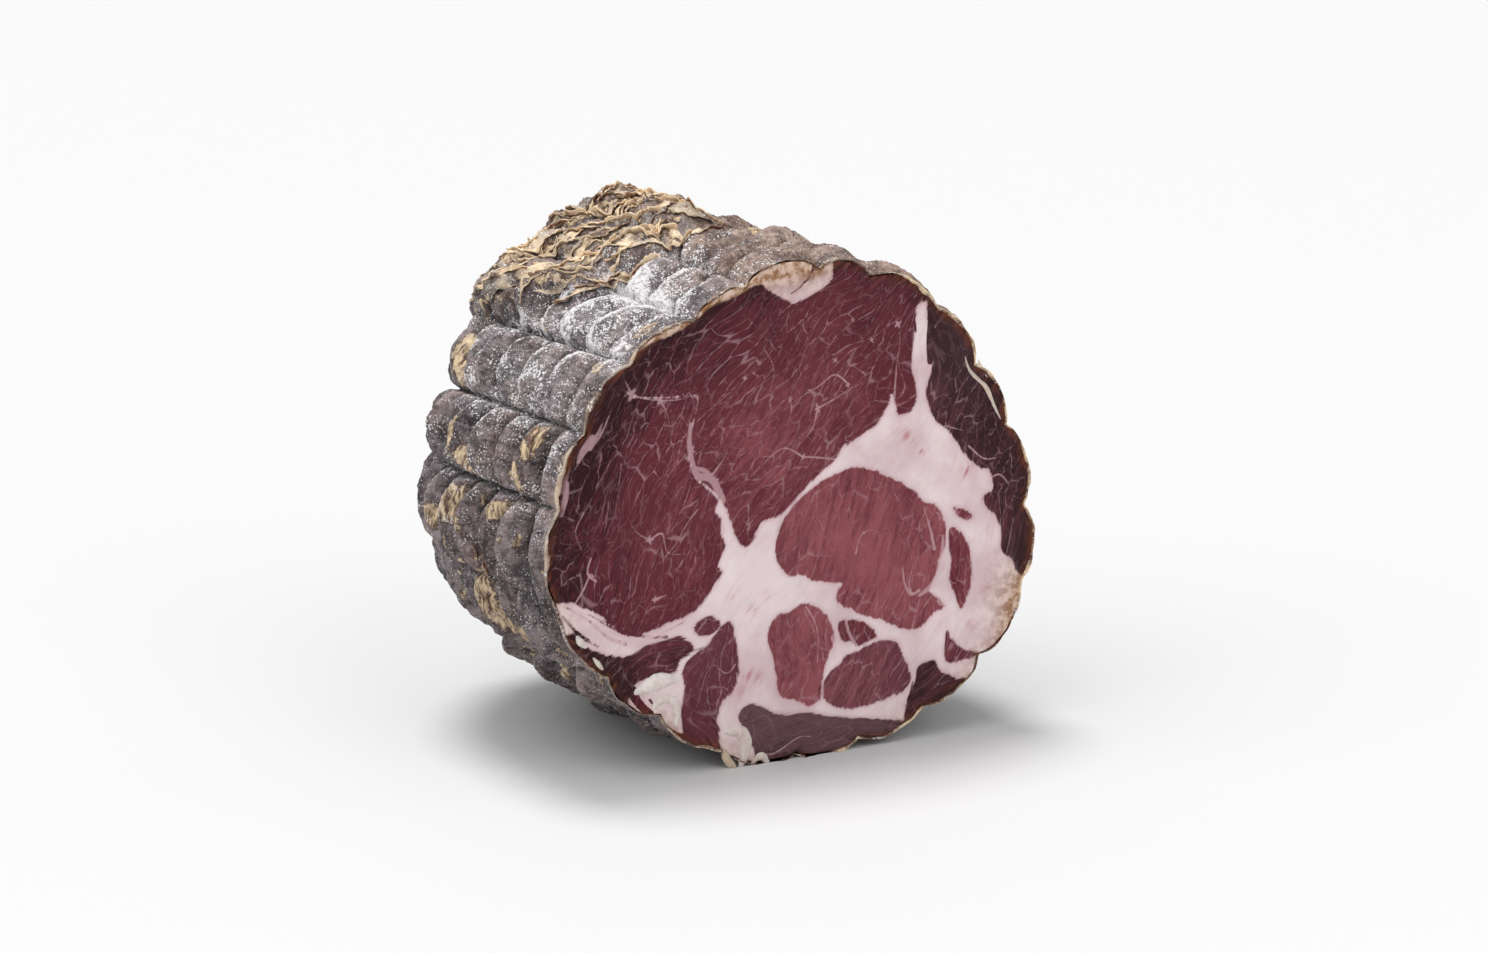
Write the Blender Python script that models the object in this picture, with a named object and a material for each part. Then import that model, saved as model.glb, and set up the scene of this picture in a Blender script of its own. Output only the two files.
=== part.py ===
"""Half of a cured coppa, lying on its side with its cut face towards -Y.

The solid is one piece. It starts as a sphere primitive whose poles are the middle of the cut face and
the gathered end. Every vertex is then moved to the place that its latitude and longitude stand for:
an oval section, drawn in towards the end, with the rows and ribs that the binding pressed into it, a
crumpled fold of loose casing over the shoulder, and a small flat spot underneath.

Units are metres, +Z is up. The origin is the middle of the bounding box, on the floor.
"""

import math

import bmesh
import bpy
import numpy as np

# Section at the cut, seen from the front; bearings are in degrees, anticlockwise from +X
HALF_WIDTH = 0.0523
HALF_HEIGHT = 0.0500
# Each swelling: bearing of its middle, how far it spreads in degrees, height
SWELLINGS = (
    (333.0, 30.0, 0.0052),
    (188.0, 20.0, 0.0026),
    (118.0, 16.0, -0.0030),
    (236.0, 22.0, -0.0020),
    (28.0, 18.0, -0.0015),
)
# Behind the cut the meat is fuller than at the dried rim, most of all on top
FULLER_ALL_ROUND = 0.014
FULLER_ON_TOP = 0.031
FULLER_SPREAD = 60.0
RIM_DRAWN_IN_OVER = 0.006

# Length from the cut to the gathered end, and how far back each side runs straight
LENGTH = 0.094
STRAIGHT_LEAST = 0.030
# Each side: bearing, spread in degrees, added straight length
STRAIGHT_SIDES = (
    (78.0, 68.0, 0.038),
    (275.0, 38.0, 0.024),
    (0.0, 40.0, 0.008),
)
END_ROUNDNESS = 2.1

# Grooves left by the lengthwise binding, one between each two rows; the binding bit less deep in some
ROW_GROOVES = (15, 32, 49, 70, 84, 104, 120, 138, 156, 173, 192, 213, 230, 250, 270, 287, 305, 322, 340, 356)
FAINT_GROOVES = {120: 0.7, 192: 0.4, 250: 0.5, 305: 0.6, 340: 0.5, 49: 0.6}
ROW_DEPTH = 0.0028
ROW_DEPTH_AT_RIM = 0.0020
ROW_DEEPENS_OVER = 0.12
ROW_FULLNESS = 2.4

# Ribs between the cross bindings, as shares of the way from the rim to the end; between two rows the
# bindings bow towards the gathered end, by a share of the pitch
RIB_PITCH = 0.0693
FIRST_RIB_CUT_AT = 0.15
RIB_COUNT = 12
RIB_DEPTH = 0.0026
RIB_DEEPENS_OVER = 0.03
RIB_FULLNESS = 2.4
RIB_UNEVENNESS = 0.0008
RIB_BOW = 0.52
RIB_WANDER = 0.15
RIB_SEED = 29
# Where the bindings were tied askew: bearing, spread in degrees, shift as a share of the way back
RIB_LEANS = ((206.0, 17.0, -0.045), (136.0, 11.0, 0.022), (285.0, 24.0, -0.020), (20.0, 25.0, 0.018))
# The bow and the shift grow over this many ribs from the rim and fade over as many at the end
BOW_GROWS_OVER = 3.0
# Power by which a row's groove and a rib's groove run into each other where they cross
GROOVES_MERGE = 3.0

# Dimple in the middle of the gathered end
DIMPLE_DEPTH = 0.0035

# Crumpled fold of loose casing over the shoulder: its front edge as bearing and depth, then its layers,
# which run slantwise over the skin as rounded ridges
FOLD_FRONT = ((84.0, 0.036), (97.0, 0.025), (121.0, 0.027), (134.0, 0.043), (142.0, 0.060))
FOLD_BACK = 0.074
FOLD_EDGE = 0.0075
FOLD_SIDE_EDGE = 8.0
FOLD_LIFT = 0.0022
FOLD_LAYER = 0.0100
FOLD_LAYER_HEIGHT = 0.0022
FOLD_LAYER_SLANT = 34.0
FOLD_COVERS = 0.65
SKIN_PER_DEGREE = 0.00089

# Flat spot that the half rests on
FLAT_SPOT_DEPTH = 0.0020

# Mesh density: columns in each row, rings in each rib
COLUMN_STEPS = (0.0, 0.12, 0.31, 0.50, 0.69, 0.88)
RING_STEPS = (0.0, 0.27, 0.73)
END_RINGS = (0.0, 0.25, 0.55)
FACE_RINGS = (0.0, 0.5)
PROFILE_SAMPLES = 300

SKIN_COLOUR = (0.105, 0.083, 0.080, 1.0)
SKIN_ROUGHNESS = 0.82


def bell(bearing, middle, spread):
    """A smooth hump round one bearing, 1 at its middle."""
    away = (bearing - middle + 180.0) % 360.0 - 180.0
    return np.exp(-((away / spread) ** 2))


def section_radius(bearing):
    """Radius of the oval section at a bearing, at the cut."""
    turn = math.radians(bearing)
    radius = HALF_WIDTH * HALF_HEIGHT / math.hypot(HALF_HEIGHT * math.cos(turn), HALF_WIDTH * math.sin(turn))
    for middle, spread, height in SWELLINGS:
        radius += height * bell(bearing, middle, spread)
    return radius


def straight_length(bearing):
    """How far back the side at a bearing runs before it rounds over."""
    length = STRAIGHT_LEAST
    for middle, spread, added in STRAIGHT_SIDES:
        length += added * bell(bearing, middle, spread)
    return length


class Meridian:
    """The line from the rim to the gathered end at one bearing, measured along its length."""

    def __init__(self, bearing):
        straight = straight_length(bearing)
        steps = np.linspace(0.0, 1.0, PROFILE_SAMPLES)
        turned = np.sin(np.clip(steps - 0.5, 0.0, 0.5) * math.pi)
        self.depth = np.minimum(steps, 0.5) * 2.0 * straight + (LENGTH - straight) * turned
        drawn_in = (1.0 - turned**END_ROUNDNESS) ** (1.0 / END_ROUNDNESS)
        fuller = FULLER_ALL_ROUND + FULLER_ON_TOP * bell(bearing, 90.0, FULLER_SPREAD)
        fuller = 1.0 + fuller * (1.0 - np.exp(-self.depth / RIM_DRAWN_IN_OVER))
        self.radius = section_radius(bearing) * drawn_in * fuller
        self.travel = np.concatenate(([0.0], np.cumsum(np.hypot(np.diff(self.depth), np.diff(self.radius)))))
        self.travel /= self.travel[-1]

    def at(self, share):
        """Depth, radius and the outward direction (radial, along Y) at a share of the way back."""
        before = max(share - 0.004, 0.0)
        after = min(share + 0.004, 1.0)
        along = np.interp(after, self.travel, self.depth) - np.interp(before, self.travel, self.depth)
        inward = np.interp(after, self.travel, self.radius) - np.interp(before, self.travel, self.radius)
        size = math.hypot(along, inward)
        place = (np.interp(share, self.travel, self.depth), np.interp(share, self.travel, self.radius))
        return place, (along / size, -inward / size)


def rib_height(row, rib):
    """Seeded difference of one rib from its neighbours, -1 to 1."""
    return math.sin(12.9898 * (row + 1) + 78.233 * (rib + 1) + RIB_SEED)


def rib_shift(row, rib):
    """Seeded shift of the groove before one rib, -1 to 1."""
    return math.sin(39.346 * (row + 1) + 11.135 * (rib + 1) + 2.0 * RIB_SEED)


def pinch(across):
    """Full in the middle of a row, nothing in the grooves beside it."""
    return 1.0 - abs(2.0 * across - 1.0) ** ROW_FULLNESS


def groove_strength(row, across):
    """How deep the binding bit in the nearer of a row's two grooves, up to 1."""
    nearer = ROW_GROOVES[(row + round(across)) % len(ROW_GROOVES)]
    return FAINT_GROOVES.get(nearer, 1.0)


def rib_shift_at(row, across, rib, along, bearing):
    """Shift of a place towards the end where the cross bindings bow, wander or lean, as a share of the way back."""
    bow = RIB_BOW * (1.0 - groove_strength(row, across) * abs(2.0 * across - 1.0) ** ROW_FULLNESS)
    wander = RIB_WANDER * ((1.0 - along) * rib_shift(row, rib) + along * rib_shift(row, rib + 1)) * pinch(across)
    lean = sum(shift * bell(bearing, middle, spread) for middle, spread, shift in RIB_LEANS)
    from_rim = (rib + along - FIRST_RIB_CUT_AT) / BOW_GROWS_OVER
    from_end = (RIB_COUNT - rib - along) / BOW_GROWS_OVER
    return ((bow + wander) * RIB_PITCH + lean) * max(0.0, min(1.0, from_rim, from_end))


def fold_cover(bearing, depth):
    """How far the crumpled casing covers the skin at a place, 0 to 1."""
    bearings = [point[0] for point in FOLD_FRONT]
    fronts = [point[1] for point in FOLD_FRONT]
    behind = (depth - np.interp(bearing, bearings, fronts)) / FOLD_EDGE
    before = (FOLD_BACK - depth) / FOLD_EDGE
    beside = min(bearing - bearings[0], bearings[-1] - bearing) / FOLD_SIDE_EDGE
    return max(0.0, min(1.0, behind, before, beside))


def fold_height(bearing, depth):
    """Height of the slanting ridges of the fold over the skin."""
    slant = math.radians(FOLD_LAYER_SLANT)
    round_skin = (bearing - FOLD_FRONT[1][0]) * SKIN_PER_DEGREE
    across = (depth * math.cos(slant) - round_skin * math.sin(slant)) / FOLD_LAYER
    return FOLD_LIFT + FOLD_LAYER_HEIGHT * abs(math.cos(math.pi * across))


def relief(row, across, rib, along, share):
    """Height of the skin over the smooth form inside one cell of the binding."""
    row_depth = ROW_DEPTH_AT_RIM + (ROW_DEPTH - ROW_DEPTH_AT_RIM) * min(1.0, share / ROW_DEEPENS_OVER)
    low_row = row_depth * groove_strength(row, across) * abs(2.0 * across - 1.0) ** ROW_FULLNESS
    low_rib = RIB_DEPTH * min(1.0, share / RIB_DEEPENS_OVER) * abs(2.0 * along - 1.0) ** RIB_FULLNESS
    low = (low_row**GROOVES_MERGE + low_rib**GROOVES_MERGE) ** (1.0 / GROOVES_MERGE)
    puff = RIB_UNEVENNESS * rib_height(row, rib) * pinch(across) * (1.0 - (2.0 * along - 1.0) ** 2)
    return puff - low


def ring_plan():
    """The rings from the rim to the gathered end: rib number, place in the rib, share of the way back."""
    rings = []
    for rib in range(RIB_COUNT):
        for along in RING_STEPS:
            share = (rib + along - FIRST_RIB_CUT_AT) * RIB_PITCH
            if rib == 0 and along < FIRST_RIB_CUT_AT:
                continue
            rings.append((rib, along, max(share, 0.0)))
    first_rib, first_along, _ = rings[0]
    rings[0] = (first_rib, first_along, 0.0)
    end_start = (RIB_COUNT - FIRST_RIB_CUT_AT) * RIB_PITCH
    for step in END_RINGS:
        rings.append((RIB_COUNT, step, end_start + (1.0 - end_start) * step))
    return rings


def column_plan():
    """The columns round the section: row number, place across the row, bearing."""
    columns = []
    for row, groove in enumerate(ROW_GROOVES):
        following = ROW_GROOVES[(row + 1) % len(ROW_GROOVES)]
        width = (following - groove) % 360
        for across in COLUMN_STEPS:
            columns.append((row, across, (groove + width * across) % 360.0))
    return columns


def skin_point(column, ring, meridian):
    """Place of one vertex of the skin, with the face centre as origin and the cut at Y 0."""
    row, across, bearing = column
    rib, along, share = ring
    if share > 0.0:
        share += rib_shift_at(row, across, rib, along, bearing)
    (depth, radius), (outward, backward) = meridian.at(share)
    if rib < RIB_COUNT:
        height = relief(row, across, rib, along, share)
    else:
        height = relief(row, across, rib, 0.0, share) * (1.0 - along) - DIMPLE_DEPTH * along
    cover = fold_cover(bearing, depth)
    height += cover * (fold_height(bearing, depth) - FOLD_COVERS * height)
    if share == 0.0:
        outward, backward = 1.0, 0.0
    radius = max(radius + height * outward, 0.0)
    turn = math.radians(bearing)
    return (radius * math.cos(turn), depth + height * backward, radius * math.sin(turn))


def coppa_mesh():
    """The whole half: a sphere primitive with every vertex moved to its place."""
    columns = column_plan()
    rings = ring_plan()
    meridians = [Meridian(bearing) for _, _, bearing in columns]
    ring_total = len(rings) + len(FACE_RINGS)
    shape = bmesh.new()
    bmesh.ops.create_uvsphere(shape, u_segments=len(columns), v_segments=ring_total, radius=1.0)
    for vert in shape.verts:
        latitude = round(math.acos(max(-1.0, min(1.0, -vert.co.z))) / math.pi * ring_total)
        column = round(math.atan2(vert.co.y, vert.co.x) / math.tau * len(columns)) % len(columns)
        if latitude == 0:
            vert.co = (0.0, 0.0, 0.0)
        elif latitude < len(FACE_RINGS):
            rim = skin_point(columns[column], rings[0], meridians[column])
            share = FACE_RINGS[latitude]
            vert.co = (rim[0] * share, 0.0, rim[2] * share)
        elif latitude == ring_total:
            vert.co = (0.0, LENGTH - DIMPLE_DEPTH, 0.0)
        else:
            ring = rings[latitude - len(FACE_RINGS)]
            vert.co = skin_point(columns[column], ring, meridians[column])
    return shape


def settle(shape):
    """Press the flat spot and bring the middle of the box to the origin, on the floor."""
    floor = min(vert.co.z for vert in shape.verts) + FLAT_SPOT_DEPTH
    for vert in shape.verts:
        vert.co.z = max(vert.co.z, floor)
    middle_x = (min(vert.co.x for vert in shape.verts) + max(vert.co.x for vert in shape.verts)) / 2.0
    middle_y = (min(vert.co.y for vert in shape.verts) + max(vert.co.y for vert in shape.verts)) / 2.0
    bmesh.ops.translate(shape, verts=shape.verts, vec=(-middle_x, -middle_y, -floor))


def skin_material():
    """Dry grey-brown casing."""
    material = bpy.data.materials.new("coppa_skin")
    material.use_nodes = True
    shader = material.node_tree.nodes["Principled BSDF"]
    shader.inputs["Base Color"].default_value = SKIN_COLOUR
    shader.inputs["Roughness"].default_value = SKIN_ROUGHNESS
    shader.inputs["Metallic"].default_value = 0.0
    return material


def build():
    """Clear the scene and make the half coppa in a collection of its own."""
    for old in list(bpy.data.objects):
        bpy.data.objects.remove(old, do_unlink=True)
    shape = coppa_mesh()
    settle(shape)
    bmesh.ops.recalc_face_normals(shape, faces=shape.faces)
    mesh = bpy.data.meshes.new("coppa")
    shape.to_mesh(mesh)
    shape.free()
    mesh.materials.append(skin_material())
    mesh.shade_smooth()
    coppa = bpy.data.objects.new("coppa", mesh)
    collection = bpy.data.collections.new("half_coppa")
    bpy.context.scene.collection.children.link(collection)
    collection.objects.link(coppa)


build()
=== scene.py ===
"""Looks of the half coppa: its marbled cut face, ribbed and moulded casing, torn rim and loose flakes."""

from __future__ import annotations

import logging
import math
from collections.abc import Callable
from dataclasses import dataclass, field
from enum import Enum

import bpy
import numpy as np
from mathutils import Matrix, Vector


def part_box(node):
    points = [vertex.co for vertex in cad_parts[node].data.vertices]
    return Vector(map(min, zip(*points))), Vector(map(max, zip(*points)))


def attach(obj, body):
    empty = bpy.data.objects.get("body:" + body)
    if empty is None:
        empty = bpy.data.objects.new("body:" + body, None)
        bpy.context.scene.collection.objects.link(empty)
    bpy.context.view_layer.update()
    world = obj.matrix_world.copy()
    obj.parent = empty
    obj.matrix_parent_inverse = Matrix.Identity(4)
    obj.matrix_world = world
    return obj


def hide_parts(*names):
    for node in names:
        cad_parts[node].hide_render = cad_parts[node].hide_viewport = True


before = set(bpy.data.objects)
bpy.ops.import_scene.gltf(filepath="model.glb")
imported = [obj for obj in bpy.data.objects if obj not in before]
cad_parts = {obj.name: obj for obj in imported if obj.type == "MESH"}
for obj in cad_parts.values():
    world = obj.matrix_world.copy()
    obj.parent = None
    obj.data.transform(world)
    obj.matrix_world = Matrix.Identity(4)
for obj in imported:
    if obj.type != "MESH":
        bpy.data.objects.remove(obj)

LOG = logging.getLogger("coppa")
MM = 0.001
NODE = "coppa"
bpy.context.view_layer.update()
# From the low corner of the node's box to the middle of the section at the cut
SECTION_FROM_CORNER = Vector((0.055695, 0.0, 0.048601))
SECTION_MIDDLE = Vector(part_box(NODE)[0]) + SECTION_FROM_CORNER


def smooth_step(low: float, high: float, value: np.ndarray) -> np.ndarray:
    """Ease from 0 at low to 1 at high.

    Args:
        low: Value that gives 0.
        high: Value that gives 1.
        value: Values to ease.

    Returns:
        The eased values.
    """
    share = np.clip((value - low) / (high - low), 0.0, 1.0)
    return share * share * (3.0 - 2.0 * share)


def turned_from(middle: float, bearing: np.ndarray) -> np.ndarray:
    """Angle from one bearing to others, -180 to 180 degrees."""
    return (bearing - middle + 180.0) % 360.0 - 180.0


def bell(value: np.ndarray, middle: float, spread: float) -> np.ndarray:
    """Bell curve, 1 at the middle and about a third one spread away."""
    return np.exp(-(((value - middle) / spread) ** 2))


def oval_bell(x: np.ndarray, z: np.ndarray, middle: tuple[float, float], spread: tuple[float, float]) -> np.ndarray:
    """Bell curve over a flat face, 1 at its middle."""
    return np.exp(-(((x - middle[0]) / spread[0]) ** 2 + ((z - middle[1]) / spread[1]) ** 2))


class Noise:
    """Seeded gradient noise, the same on every run."""

    TABLE = 4096

    def __init__(self, seed: int) -> None:
        """Draw the table of gradients.

        Args:
            seed: Seed of the draw.
        """
        directions = np.random.default_rng(seed).normal(size=(self.TABLE, 3))
        self.gradients = directions / np.linalg.norm(directions, axis=1)[:, None]

    def at(self, points: np.ndarray, scale: float) -> np.ndarray:
        """Noise of one size, about -1 to 1.

        Args:
            points: Places, one row each.
            scale: Size of the lattice cells.

        Returns:
            One value for each place.
        """
        scaled = points / scale
        cell = np.floor(scaled).astype(np.int64)
        inside = scaled - cell
        ease = inside * inside * inside * (inside * (inside * 6.0 - 15.0) + 10.0)
        total = np.zeros(len(points))
        for corner in range(8):
            step = np.array((corner & 1, corner >> 1 & 1, corner >> 2 & 1))
            x, y, z = (cell + step).T
            key = (x * 73856093 ^ y * 19349663 ^ z * 83492791) % self.TABLE
            slope = np.einsum("ij,ij->i", self.gradients[key], inside - step)
            total += slope * np.prod(np.where(step, ease, 1.0 - ease), axis=1)
        return total * 1.6

    def rough(self, points: np.ndarray, scale: float, octaves: int) -> np.ndarray:
        """Noise with finer layers on top.

        Args:
            points: Places, one row each.
            scale: Size of the largest cells.
            octaves: Number of layers, each half as large and half as strong.

        Returns:
            One value for each place.
        """
        total = np.zeros(len(points))
        for octave in range(octaves):
            total += self.at(points, scale / 2**octave) / 2**octave
        return total

    def ridges(self, points: np.ndarray, scale: float) -> np.ndarray:
        """Thin crests, 1 on a crest and 0 away from it."""
        return 1.0 - np.clip(np.abs(self.at(points, scale)) * 2.2, 0.0, 1.0)


@dataclass(frozen=True)
class Hump:
    """A smooth swelling round one bearing of the section."""

    bearing: float
    spread: float
    height: float

    def at(self, bearing: np.ndarray) -> np.ndarray:
        """Height of the swelling at each bearing."""
        return self.height * bell(turned_from(self.bearing, bearing), 0.0, self.spread)


@dataclass
class SmoothForm:
    """The half without its relief: an oval section, drawn in towards the gathered end."""

    half_width: float = 0.0523
    half_height: float = 0.0500
    length: float = 0.094
    straight_least: float = 0.030
    end_roundness: float = 2.1
    rim_drawn_in_over: float = 0.006
    fuller_all_round: float = 0.014
    fuller_on_top: Hump = Hump(90.0, 60.0, 0.031)
    swellings: tuple[Hump, ...] = (
        Hump(333.0, 30.0, 0.0052),
        Hump(188.0, 20.0, 0.0026),
        Hump(118.0, 16.0, -0.0030),
        Hump(236.0, 22.0, -0.0020),
        Hump(28.0, 18.0, -0.0015),
    )
    straight_sides: tuple[Hump, ...] = (
        Hump(78.0, 68.0, 0.038),
        Hump(275.0, 38.0, 0.024),
        Hump(0.0, 40.0, 0.008),
    )
    bearing_steps: int = 720
    share_steps: int = 400

    def __post_init__(self) -> None:
        """Work out the line from rim to end at every half degree."""
        bearing = np.linspace(0.0, 360.0, self.bearing_steps + 1)
        straight = self.straight_least + sum(side.at(bearing) for side in self.straight_sides)
        radius = self.section_radius(bearing)
        fuller = self.fuller_all_round + self.fuller_on_top.at(bearing)
        steps = np.linspace(0.0, 1.0, self.share_steps)
        turned = np.sin(np.clip(steps - 0.5, 0.0, 0.5) * math.pi)
        self.table = np.empty((self.bearing_steps + 1, self.share_steps, 4))
        for index in range(self.bearing_steps + 1):
            depth = np.minimum(steps, 0.5) * 2.0 * straight[index] + (self.length - straight[index]) * turned
            drawn_in = (1.0 - turned**self.end_roundness) ** (1.0 / self.end_roundness)
            fill = 1.0 + fuller[index] * (1.0 - np.exp(-depth / self.rim_drawn_in_over))
            reach = radius[index] * drawn_in * fill
            travel = np.concatenate(([0.0], np.cumsum(np.hypot(np.diff(depth), np.diff(reach)))))
            travel /= travel[-1]
            even_depth = np.interp(steps, travel, depth)
            even_reach = np.interp(steps, travel, reach)
            along = np.gradient(even_depth)
            inward = np.gradient(even_reach)
            size = np.hypot(along, inward)
            self.table[index] = np.stack((even_depth, even_reach, along / size, -inward / size), axis=1)

    def section_radius(self, bearing: np.ndarray) -> np.ndarray:
        """Radius of the section at the cut, at each bearing in degrees."""
        turn = np.radians(bearing)
        oval = np.hypot(self.half_height * np.cos(turn), self.half_width * np.sin(turn))
        return self.half_width * self.half_height / oval + sum(hump.at(bearing) for hump in self.swellings)

    def at(self, bearing: np.ndarray, share: np.ndarray) -> tuple[np.ndarray, ...]:
        """Look up places on the smooth form.

        Args:
            bearing: Bearings in degrees.
            share: Shares of the way from the rim to the end.

        Returns:
            Depth, radius, and the outward direction's radial and backward parts.
        """
        row = np.clip(bearing % 360.0, 0.0, 360.0) / 360.0 * self.bearing_steps
        column = np.clip(share, 0.0, 1.0) * (self.share_steps - 1)
        low_row = np.minimum(row.astype(int), self.bearing_steps - 1)
        low_column = np.minimum(column.astype(int), self.share_steps - 2)
        part_row = (row - low_row)[:, None]
        part_column = (column - low_column)[:, None]
        first = self.table[low_row, low_column] * (1.0 - part_column)
        first += self.table[low_row, low_column + 1] * part_column
        second = self.table[low_row + 1, low_column] * (1.0 - part_column)
        second += self.table[low_row + 1, low_column + 1] * part_column
        return tuple((first * (1.0 - part_row) + second * part_row).T)


def in_frame(x: np.ndarray, y: np.ndarray, z: np.ndarray) -> np.ndarray:
    """Places in the frame from distances to the middle of the section, no lower than the floor."""
    places = np.stack((SECTION_MIDDLE.x + x, SECTION_MIDDLE.y + y, SECTION_MIDDLE.z + z), axis=1)
    places[:, 2] = np.maximum(places[:, 2], 0.0)
    return places


@dataclass
class SkinSpot:
    """A set of places on the skin and what the binding and the casing do there."""

    row: np.ndarray
    across: np.ndarray
    rib: np.ndarray
    along: np.ndarray
    share: np.ndarray
    bearing: np.ndarray
    depth: np.ndarray
    radius: np.ndarray
    outward: np.ndarray
    backward: np.ndarray
    smooth: np.ndarray = field(default_factory=lambda: np.empty((0, 3)))
    cover: np.ndarray = field(default_factory=lambda: np.empty(0))
    # Painted shade in the grooves, 0 to 1
    groove: np.ndarray = field(default_factory=lambda: np.empty(0))
    layer: np.ndarray = field(default_factory=lambda: np.empty(0))


@dataclass
class Skin:
    """The casing's surface: rows and ribs pressed in by the binding, the crumpled fold and fine wrinkles."""

    form: SmoothForm = field(default_factory=SmoothForm)
    row_grooves: tuple[int, ...] = (
        15, 32, 49, 70, 84, 104, 120, 138, 156, 173, 192, 213, 230, 250, 270, 287, 305, 322, 340, 356,
    )
    groove_strengths: tuple[float, ...] = (
        1, 1, 0.6, 1, 1, 1, 0.7, 1, 1, 1, 0.4, 1, 1, 0.5, 1, 1, 0.6, 1, 0.5, 1,
    )
    row_depth: float = 0.0028
    row_depth_at_rim: float = 0.0020
    row_deepens_over: float = 0.12
    fullness: float = 2.4
    rib_pitch: float = 0.0693
    first_rib_cut_at: float = 0.15
    rib_count: int = 12
    rib_depth: float = 0.0026
    rib_deepens_over: float = 0.03
    rib_crest_set_back: float = 1.25
    rib_unevenness: float = 0.0008
    rib_bow: float = 0.52
    rib_wander: float = 0.15
    rib_seed: int = 29
    rib_leans: tuple[Hump, ...] = (
        Hump(206.0, 17.0, -0.045), Hump(136.0, 11.0, 0.022), Hump(285.0, 24.0, -0.020), Hump(20.0, 25.0, 0.018),
    )
    bow_grows_over: float = 3.0
    grooves_merge: float = 3.0
    dimple_depth: float = 0.0035
    fold_front: tuple[tuple[float, float], ...] = (
        (84.0, 0.036), (97.0, 0.025), (121.0, 0.027), (134.0, 0.043), (142.0, 0.060),
    )
    fold_back: float = 0.074
    fold_edge: float = 0.0075
    fold_side_edge: float = 8.0
    fold_lift: float = 0.0015
    fold_layer: float = 0.0100
    fold_layer_height: float = 0.0022
    fold_layer_slant: float = 34.0
    fold_covers: float = 0.65
    skin_per_degree: float = 0.00089
    thread_bite: float = 0.0013
    thread_width: float = 0.12
    scale_height: float = 0.0019
    scale_middle: float = 190.0
    scale_spread: float = 34.0
    scale_crest: float = 0.58
    scale_crest_width: float = 0.20
    crumple_layer: float = 0.0042
    crumple_height: float = 0.0012
    crumple_fine_layer: float = 0.0013
    crumple_fine_height: float = 0.0005
    pleat_pitch: float = 0.00115
    pleat_height: float = 0.00018
    crease_height: float = 0.00045
    lump_height: float = 0.00034
    grain_height: float = 0.00013

    def __post_init__(self) -> None:
        """Prepare the noise fields and the bearings of the grooves."""
        self.lumps = Noise(11)
        self.creases = Noise(23)
        self.grain = Noise(37)
        self.turns = np.array(self.row_grooves + (self.row_grooves[0] + 360,), dtype=float)

    def bearing_of(self, rows: np.ndarray) -> np.ndarray:
        """Bearing of each running row number."""
        count = len(self.row_grooves)
        return np.interp(rows % count, np.arange(count + 1), self.turns) % 360.0

    def rows_of(self, bearing: np.ndarray) -> np.ndarray:
        """Running row number of each bearing."""
        lifted = np.where(bearing < self.turns[0], bearing + 360.0, bearing)
        return np.interp(lifted, self.turns, np.arange(len(self.turns)))

    def shift(self, row: np.ndarray, rib: np.ndarray) -> np.ndarray:
        """Seeded shift of the groove before a rib, -1 to 1."""
        return np.sin(39.346 * (row + 1) + 11.135 * (rib + 1) + 2.0 * self.rib_seed)

    def puff(self, row: np.ndarray, rib: np.ndarray) -> np.ndarray:
        """Seeded difference of a rib from its neighbours, -1 to 1."""
        return np.sin(12.9898 * (row + 1) + 78.233 * (rib + 1) + self.rib_seed)

    def spot(self, rows: np.ndarray, ribs: np.ndarray) -> SkinSpot:
        """Find places on the smooth form from running row and rib numbers.

        Args:
            rows: Running row numbers round the section.
            ribs: Running rib numbers, from the cut to one past the last rib at the very end.

        Returns:
            The places, without relief.
        """
        count = len(self.row_grooves)
        row = np.floor(rows + 1e-9).astype(int) % count
        across = np.clip(rows - np.floor(rows + 1e-9), 0.0, 1.0)
        rib = np.minimum(np.floor(ribs), self.rib_count)
        along = ribs - rib
        end_start = (self.rib_count - self.first_rib_cut_at) * self.rib_pitch
        share = np.where(
            ribs <= self.rib_count,
            (ribs - self.first_rib_cut_at) * self.rib_pitch,
            end_start + (1.0 - end_start) * along,
        )
        edge = np.abs(2.0 * across - 1.0) ** self.fullness
        wander = (1.0 - along) * self.shift(row, rib) + along * self.shift(row, rib + 1)
        wander = self.rib_wander * wander * (1.0 - edge)
        bow = self.rib_bow * (1.0 - self.groove_strength(row, across) * edge)
        bearing = self.bearing_of(rows)
        lean = sum(hump.at(bearing) for hump in self.rib_leans)
        free = np.minimum(ribs - self.first_rib_cut_at, self.rib_count - ribs) / self.bow_grows_over
        share = share + ((bow + wander) * self.rib_pitch + lean) * np.clip(free, 0.0, 1.0)
        depth, radius, outward, backward = self.form.at(bearing, share)
        at_rim = ribs <= self.first_rib_cut_at + 1e-6
        outward = np.where(at_rim, 1.0, outward)
        backward = np.where(at_rim, 0.0, backward)
        spot = SkinSpot(row, across, rib, along, share, bearing, depth, radius, outward, backward)
        spot.smooth = self.points(spot, np.zeros(len(rows)))
        spot.cover = self.fold_cover(bearing, depth)
        return spot

    def groove_strength(self, row: np.ndarray, across: np.ndarray) -> np.ndarray:
        """How deep the binding bit in the nearer of a row's two grooves, up to 1."""
        strengths = np.array(self.groove_strengths, dtype=float)
        return strengths[(row + (across > 0.5)) % len(strengths)]

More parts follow.
